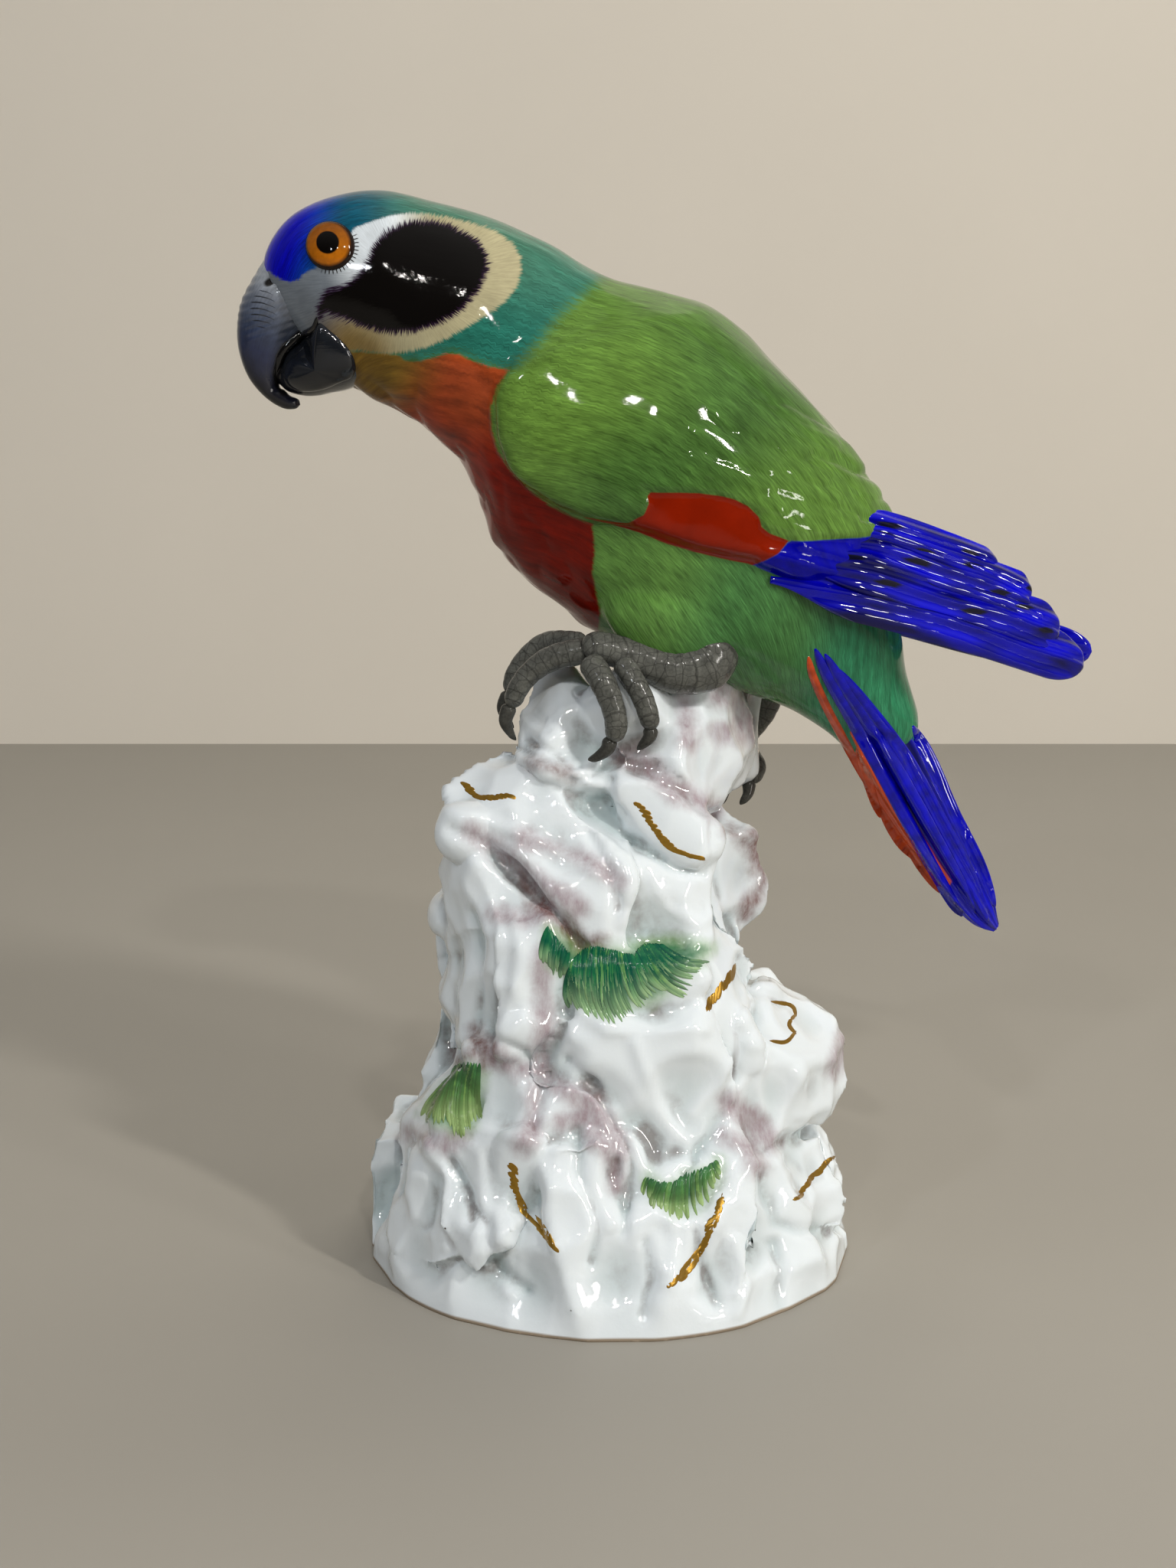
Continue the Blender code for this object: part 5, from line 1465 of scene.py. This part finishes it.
def eyeMesh(name, side):
    # rings round the iris, cast on the head, raised by bulge * sqrt(1 - (r / reach)^2), with a sunk rim
    turn = np.linspace(0, 2 * np.pi, 96, endpoint=False)
    radius = np.append(np.linspace(0.05, eyeball["reach"], 60), eyeball["reach"])
    flat = radius[:, None, None] * np.stack([np.cos(turn), np.sin(turn)], -1)
    pixels = readOff(headView, eyeball["mark"]) + flat * mm / photoCamera["reach"]
    skin, normal = castOn(bodyTree, pixels)
    normal = normal.mean((0, 1))
    dome = eyeball["bulge"] * np.sqrt(1 - np.minimum(radius / eyeball["reach"], 1) ** 2) - 0.12
    dome[-1] = -2.0
    rings = (skin + normal * (dome * mm)[:, None, None]) * (1, -side, 1)
    mesh = writeMesh(name, *closedGrid(rings))
    gap = np.broadcast_to(radius[:, None], rings.shape[:2]).ravel()
    away = (pixels - readOff(headView, eyeball["pupilMark"])) * photoCamera["reach"] / mm
    lid = (pixels[..., 1] - readOff(headView, eyeball["mark"])[1]) * photoCamera["reach"] / mm
    writeValues(mesh, "irisGap", np.append(gap, [0, 9]))
    writeValues(mesh, "pupilGap", np.append(np.linalg.norm(away, axis=-1).ravel(), [0, 9]))
    writeValues(mesh, "lidShade", np.append(lid.ravel(), [0, 0]))
    return mesh


def eyeMaterial():
    # amber enamel iris, darker to its rim and with painted shade under the brow, with a black pupil
    material, tree = newMaterial("amber enamel eye")
    lid, iris, pupil = (addNode(tree, "Attribute", out="Fac", attribute_name=name)
                        for name in ("lidShade", "irisGap", "pupilGap"))
    cloud = cloudNoise(tree, 600.0, 3.0)
    # the iris darkens upwards to the brow tone: painted shade under the brow
    colour = shade(tree, layOver(tree, eyeball["amber"], eyeball["brow"], lid, 4.0, -6.0), cloud, 0.7)
    colour = layOver(tree, colour, eyeball["limbus"], iris, 5.7, 6.5)
    size = eyeball["pupil"]
    colour = layOver(tree, colour, eyeball["black"], pupil, size + 0.15, size - 0.15)
    glaze(tree, colour, cloud, 0.02, 0.05)
    return material


eyePaint = eyeMaterial()
for name, side in (("leftEye", -1), ("rightEye", 1)):
    placePiece(name, eyeMesh(name, side), eyePaint)


# legs, toes and claws

feet = {
    "shank": 4.6, "toe": 3.4, "claw": 2.1, "scale": 4.0,
    "skin": "#565752", "horn": "#3c3c38", "arc": "#201f1e", "seam": "#2a2a28",
}
nearLeg = [(24, -22, 12, 1.7), (27.5, -26, 2, 1.86), (18, -28.5, -1, 1.5), (8, -29.5, 2.4, 1.14),
           (-3, -29.5, 5.6, 0.98), (-9, -28, 6, 0.85)]
farLeg = [(36, 22, 12, 1.3), (47, 21, -6, 1.3), (48, 23, -18, 1.05), (43, 26, -28, 0.85),
          (38, 28, -34, 0.8)]
toes = [
    [(-6, -28, 5, 1.15), (-17, -25, 2, 1.1), (-23, -23, -2, 0.98), (-27, -22, -7, 0.9),
     (-29.5, -21, -13, 0.8)],
    [(-8, -24, 6, 1.0), (-18, -14, 5, 1.0), (-24, -11, 1, 0.95), (-28.5, -10, -5, 0.85),
     (-30, -10, -11, 0.75)],
    [(-7, -32, 3, 1.15), (-3, -37, -3, 1.1), (0, -38.5, -10, 1.0), (1, -38, -16, 0.95),
     (-0.5, -36.5, -20, 0.8)],
    [(2, -32, 3, 1.0), (6.5, -36, -4, 0.95), (9, -37.5, -9, 0.9), (10.5, -37, -14, 0.85),
     (11, -36, -17, 0.75)],
    [(40, 28, -33, 1.0), (38, 31, -39, 1.0), (37, 30, -44, 0.8)],
    [(40, 28, -33, 1.0), (45, 22, -38, 1.0), (43, 18, -43, 0.8)],
]
claws = [
    [(-29.5, -21, -12, 1.15), (-31, -20.5, -17, 0.95), (-29.5, -20, -21, 0.55), (-28, -19.5, -23, 0.3)],
    [(-30, -10, -10, 1.15), (-32, -10, -15, 0.95), (-30.5, -10, -19, 0.55), (-29, -10, -21, 0.3)],
    [(-0.5, -36.5, -19, 1.15), (-1.5, -36.5, -22.5, 0.95), (-4.5, -36, -25, 0.65), (-7, -35, -26, 0.4)],
    [(11, -36, -16, 1.15), (10.5, -36.5, -19, 0.95), (8.5, -36, -21.5, 0.6), (7, -35, -23, 0.35)],
    [(37, 30, -43, 1.15), (36, 27, -48, 0.7), (35, 24, -51, 0.35)],
    [(43, 18, -42, 1.15), (42.5, 16, -46, 0.8), (40, 14, -49, 0.4)],
]


def limbRings(path, radius, scaled):
    # a round section carried along the path; pads swell between the scale rings, and both ends round off
    count = 14 * len(path)
    rows = resample(path, count)
    line = rows[:, 0:3] + (0, 0, perch)
    along = np.gradient(line, axis=0)
    along /= np.linalg.norm(along, axis=1, keepdims=True)
    outward = np.tile(np.array([0.0, -1.0, 0.0]), (count, 1))
    outward -= along * (outward * along).sum(1, keepdims=True)
    outward /= np.linalg.norm(outward, axis=1, keepdims=True)
    over = np.cross(along, outward)
    length = np.concatenate([[0], np.cumsum(np.linalg.norm(np.diff(line, axis=0), axis=1))])
    inset = (1 - np.minimum(length, length[-1] - length) / radius).clip(0, 1)
    ends = np.sqrt(np.clip(1 - inset**2, 0.03, 1))
    pads = 1 + (0.045 * np.abs(np.sin(np.pi * length / feet["scale"])) ** 0.6 - 0.03 if scaled else 0)
    swell = rows[:, 3] * radius * ends * pads
    angle = np.linspace(0, 2 * np.pi, 40, endpoint=False)
    rings = (line[:, None] + outward[:, None] * (np.cos(angle) * swell[:, None])[..., None]
             + over[:, None] * (np.sin(angle) * swell[:, None])[..., None])
    bowed = length[:, None] + 1.8 * np.cos(angle)[None, :] + 0.5 * np.sin(0.9 * length)[:, None]
    return rings * mm, bowed * mm


def limbMaterial(name, tone, line):
    # grey enamel, stippled on, with the scales drawn over it in dark arcs 0.3 mm wide and in fine seams
    material, tree = newMaterial(name)
    grain, cloud = cloudNoise(tree, 1500.0, 2.0), cloudNoise(tree, 300.0, 3.0)
    colour = shade(tree, shade(tree, tone, grain, 0.9), cloud, 1.2)
    along = addNode(tree, "SeparateXYZ", {0: addNode(tree, "UVMap", uv_map="flow")})
    shift = addNode(tree, "Math", {0: cloud, 1: 0.5}, operation="ADD")
    stray = addNode(tree, "Math", {0: shift, 1: 0.09, 2: along}, operation="MULTIPLY_ADD")
    phase = addNode(tree, "Math", {0: stray, 1: feet["scale"] / 20}, operation="PINGPONG")
    arc = addNode(tree, "MapRange", {"Value": phase, "From Min": 0.028, "From Max": 0.014, "To Max": line})
    colour = layOver(tree, colour, feet["arc"], arc, 0, 1)
    scale = addNode(tree, "TexVoronoi", {"Vector": addNode(tree, "TexCoord", out="Object"), "Scale": 330.0,
                                         "Randomness": 0.75}, "Distance", feature="DISTANCE_TO_EDGE")
    colour = layOver(tree, colour, feet["seam"], scale, 0.075, 0.02, line)
    glaze(tree, colour, arc, -0.10, 0.16)
    return material


legPaint = limbMaterial("stippled grey enamel", feet["skin"], 0.45)
clawPaint = limbMaterial("dark grey enamel", feet["horn"], 0.0)


def placeLimb(name, path, radius, paint, scaled=True):
    rings, bowed = limbRings(path, radius, scaled)
    mesh = writeMesh(name, *closedGrid(rings))
    flat = np.stack([bowed.ravel(), np.zeros(bowed.size)], -1)
    writeFlow(mesh, np.vstack([flat, flat[:1], flat[-1:]]) * 100)
    placePiece(name, mesh, paint)


placeLimb("nearLeg", nearLeg, feet["shank"], legPaint)
placeLimb("farLeg", farLeg, feet["shank"], legPaint)
for number, (toe, claw) in enumerate(zip(toes, claws)):
    placeLimb(f"toe{number}", toe, feet["toe"], legPaint)
    placeLimb(f"claw{number}", claw, feet["claw"], clawPaint, False)
print("bill, eyes and feet")


# floor, backdrop, lights and camera

stage = {"floor": "#98948b", "wall": "#d6d0c4", "sky": "#dfdcd8", "panes": "#fffaf4"}


def stageMaterial(name, tone, gloss):
    material, tree = newMaterial(name)
    colour = shade(tree, tone, cloudNoise(tree, 6.0, 3.0), 0.05)
    shader = addNode(tree, "BsdfPrincipled", {"Base Color": colour, "Roughness": gloss})
    addNode(tree, "OutputMaterial", {"Surface": shader})
    return material


def stagePlane(name, corners, material):
    mesh = writeMesh(name, np.array(corners, float), [(0, 1, 2, 3)])
    thing = bpy.data.objects.new(name, mesh)
    bpy.context.scene.collection.objects.link(thing)
    mesh.materials.append(material)
    return thing


floor = stagePlane("floor", [(-3, -2, 0), (3, -2, 0), (3, 0.9, 0), (-3, 0.9, 0)],
                   stageMaterial("matt pale board", stage["floor"], 0.6))
wall = stagePlane("wall", [(-3, 0.9, 0), (3, 0.9, 0), (3, 0.9, 3), (-3, 0.9, 3)],
                  stageMaterial("matt beige paint", stage["wall"], 0.8))


def areaLight(name, place, target, size, power, tone, mirrored):
    lamp = bpy.data.lights.new(name, "AREA")
    lamp.shape = "RECTANGLE"
    lamp.size, lamp.size_y = size
    lamp.energy = power
    lamp.color = linear(tone)[:3]
    thing = bpy.data.objects.new(name, lamp)
    thing.location = place
    thing.visible_glossy = mirrored
    thing.rotation_euler = (Vector(target) - Vector(place)).to_track_quat("-Z", "Y").to_euler()
    bpy.context.scene.collection.objects.link(thing)


for name, place, aim, size, power, tone, mirrored in (
    ("windowRight", (0.95, -1.05, 1.20), 0.17, (0.07, 0.26), 13.0, stage["panes"], True),
    ("windowMiddle", (0.30, -1.45, 1.30), 0.17, (0.07, 0.06), 6.0, stage["panes"], True),
    ("windowSide", (1.25, -1.15, 0.45), 0.15, (0.12, 0.45), 7.0, stage["panes"], True),
    ("windowPane", (-0.35, -1.50, 1.20), 0.17, (0.06, 0.05), 3.0, stage["panes"], True),
    ("windowLeft", (-0.95, -1.45, 1.10), 0.17, (0.05, 0.12), 4.0, "#f4f8ff", True),
    ("ceiling", (0.45, 0.55, 1.45), 0.12, (0.7, 0.5), 6.0, "#fffcf6", False),
    ("sideFill", (1.3, 0.1, 0.35), 0.15, (0.5, 0.5), 2.0, "#fff6ea", False),
    ("leftFill", (-1.2, -0.5, 0.5), 0.12, (0.6, 0.6), 2.5, "#f6f8ff", False),
):
    areaLight(name, place, (0, 0, aim), size, power, tone, mirrored)

# the room: bright above and to the right, dim behind the camera, so the glaze mirrors little there
world = bpy.data.worlds.new("room")
world.use_nodes = True
sky = world.node_tree
facing = addNode(sky, "VectorMath", {0: addNode(sky, "TexCoord", out="Generated"), 1: (0.45, 0.50, 0.74)},
                 "Value", operation="DOT_PRODUCT")
level = addNode(sky, "MapRange", {"Value": facing, "From Min": -0.5, "From Max": 0.9, "To Min": 0.07,
                                  "To Max": 0.60}, interpolation_type="SMOOTHSTEP")
sky.nodes["Background"].inputs[0].default_value = linear(stage["sky"])
sky.links.new(level, sky.nodes["Background"].inputs[1])
bpy.context.scene.world = world
bpy.context.scene.view_settings.view_transform = "Standard"  # keeps the enamels as deep as they are

lens = bpy.data.cameras.new("photoCamera")
lens.lens = photoCamera["lens"]
lens.sensor_width = 36
camera = bpy.data.objects.new("photoCamera", lens)
camera.location = photoCamera["place"]
camera.rotation_euler = (tilt, 0, 0)
bpy.context.scene.collection.objects.link(camera)
bpy.context.scene.camera = camera
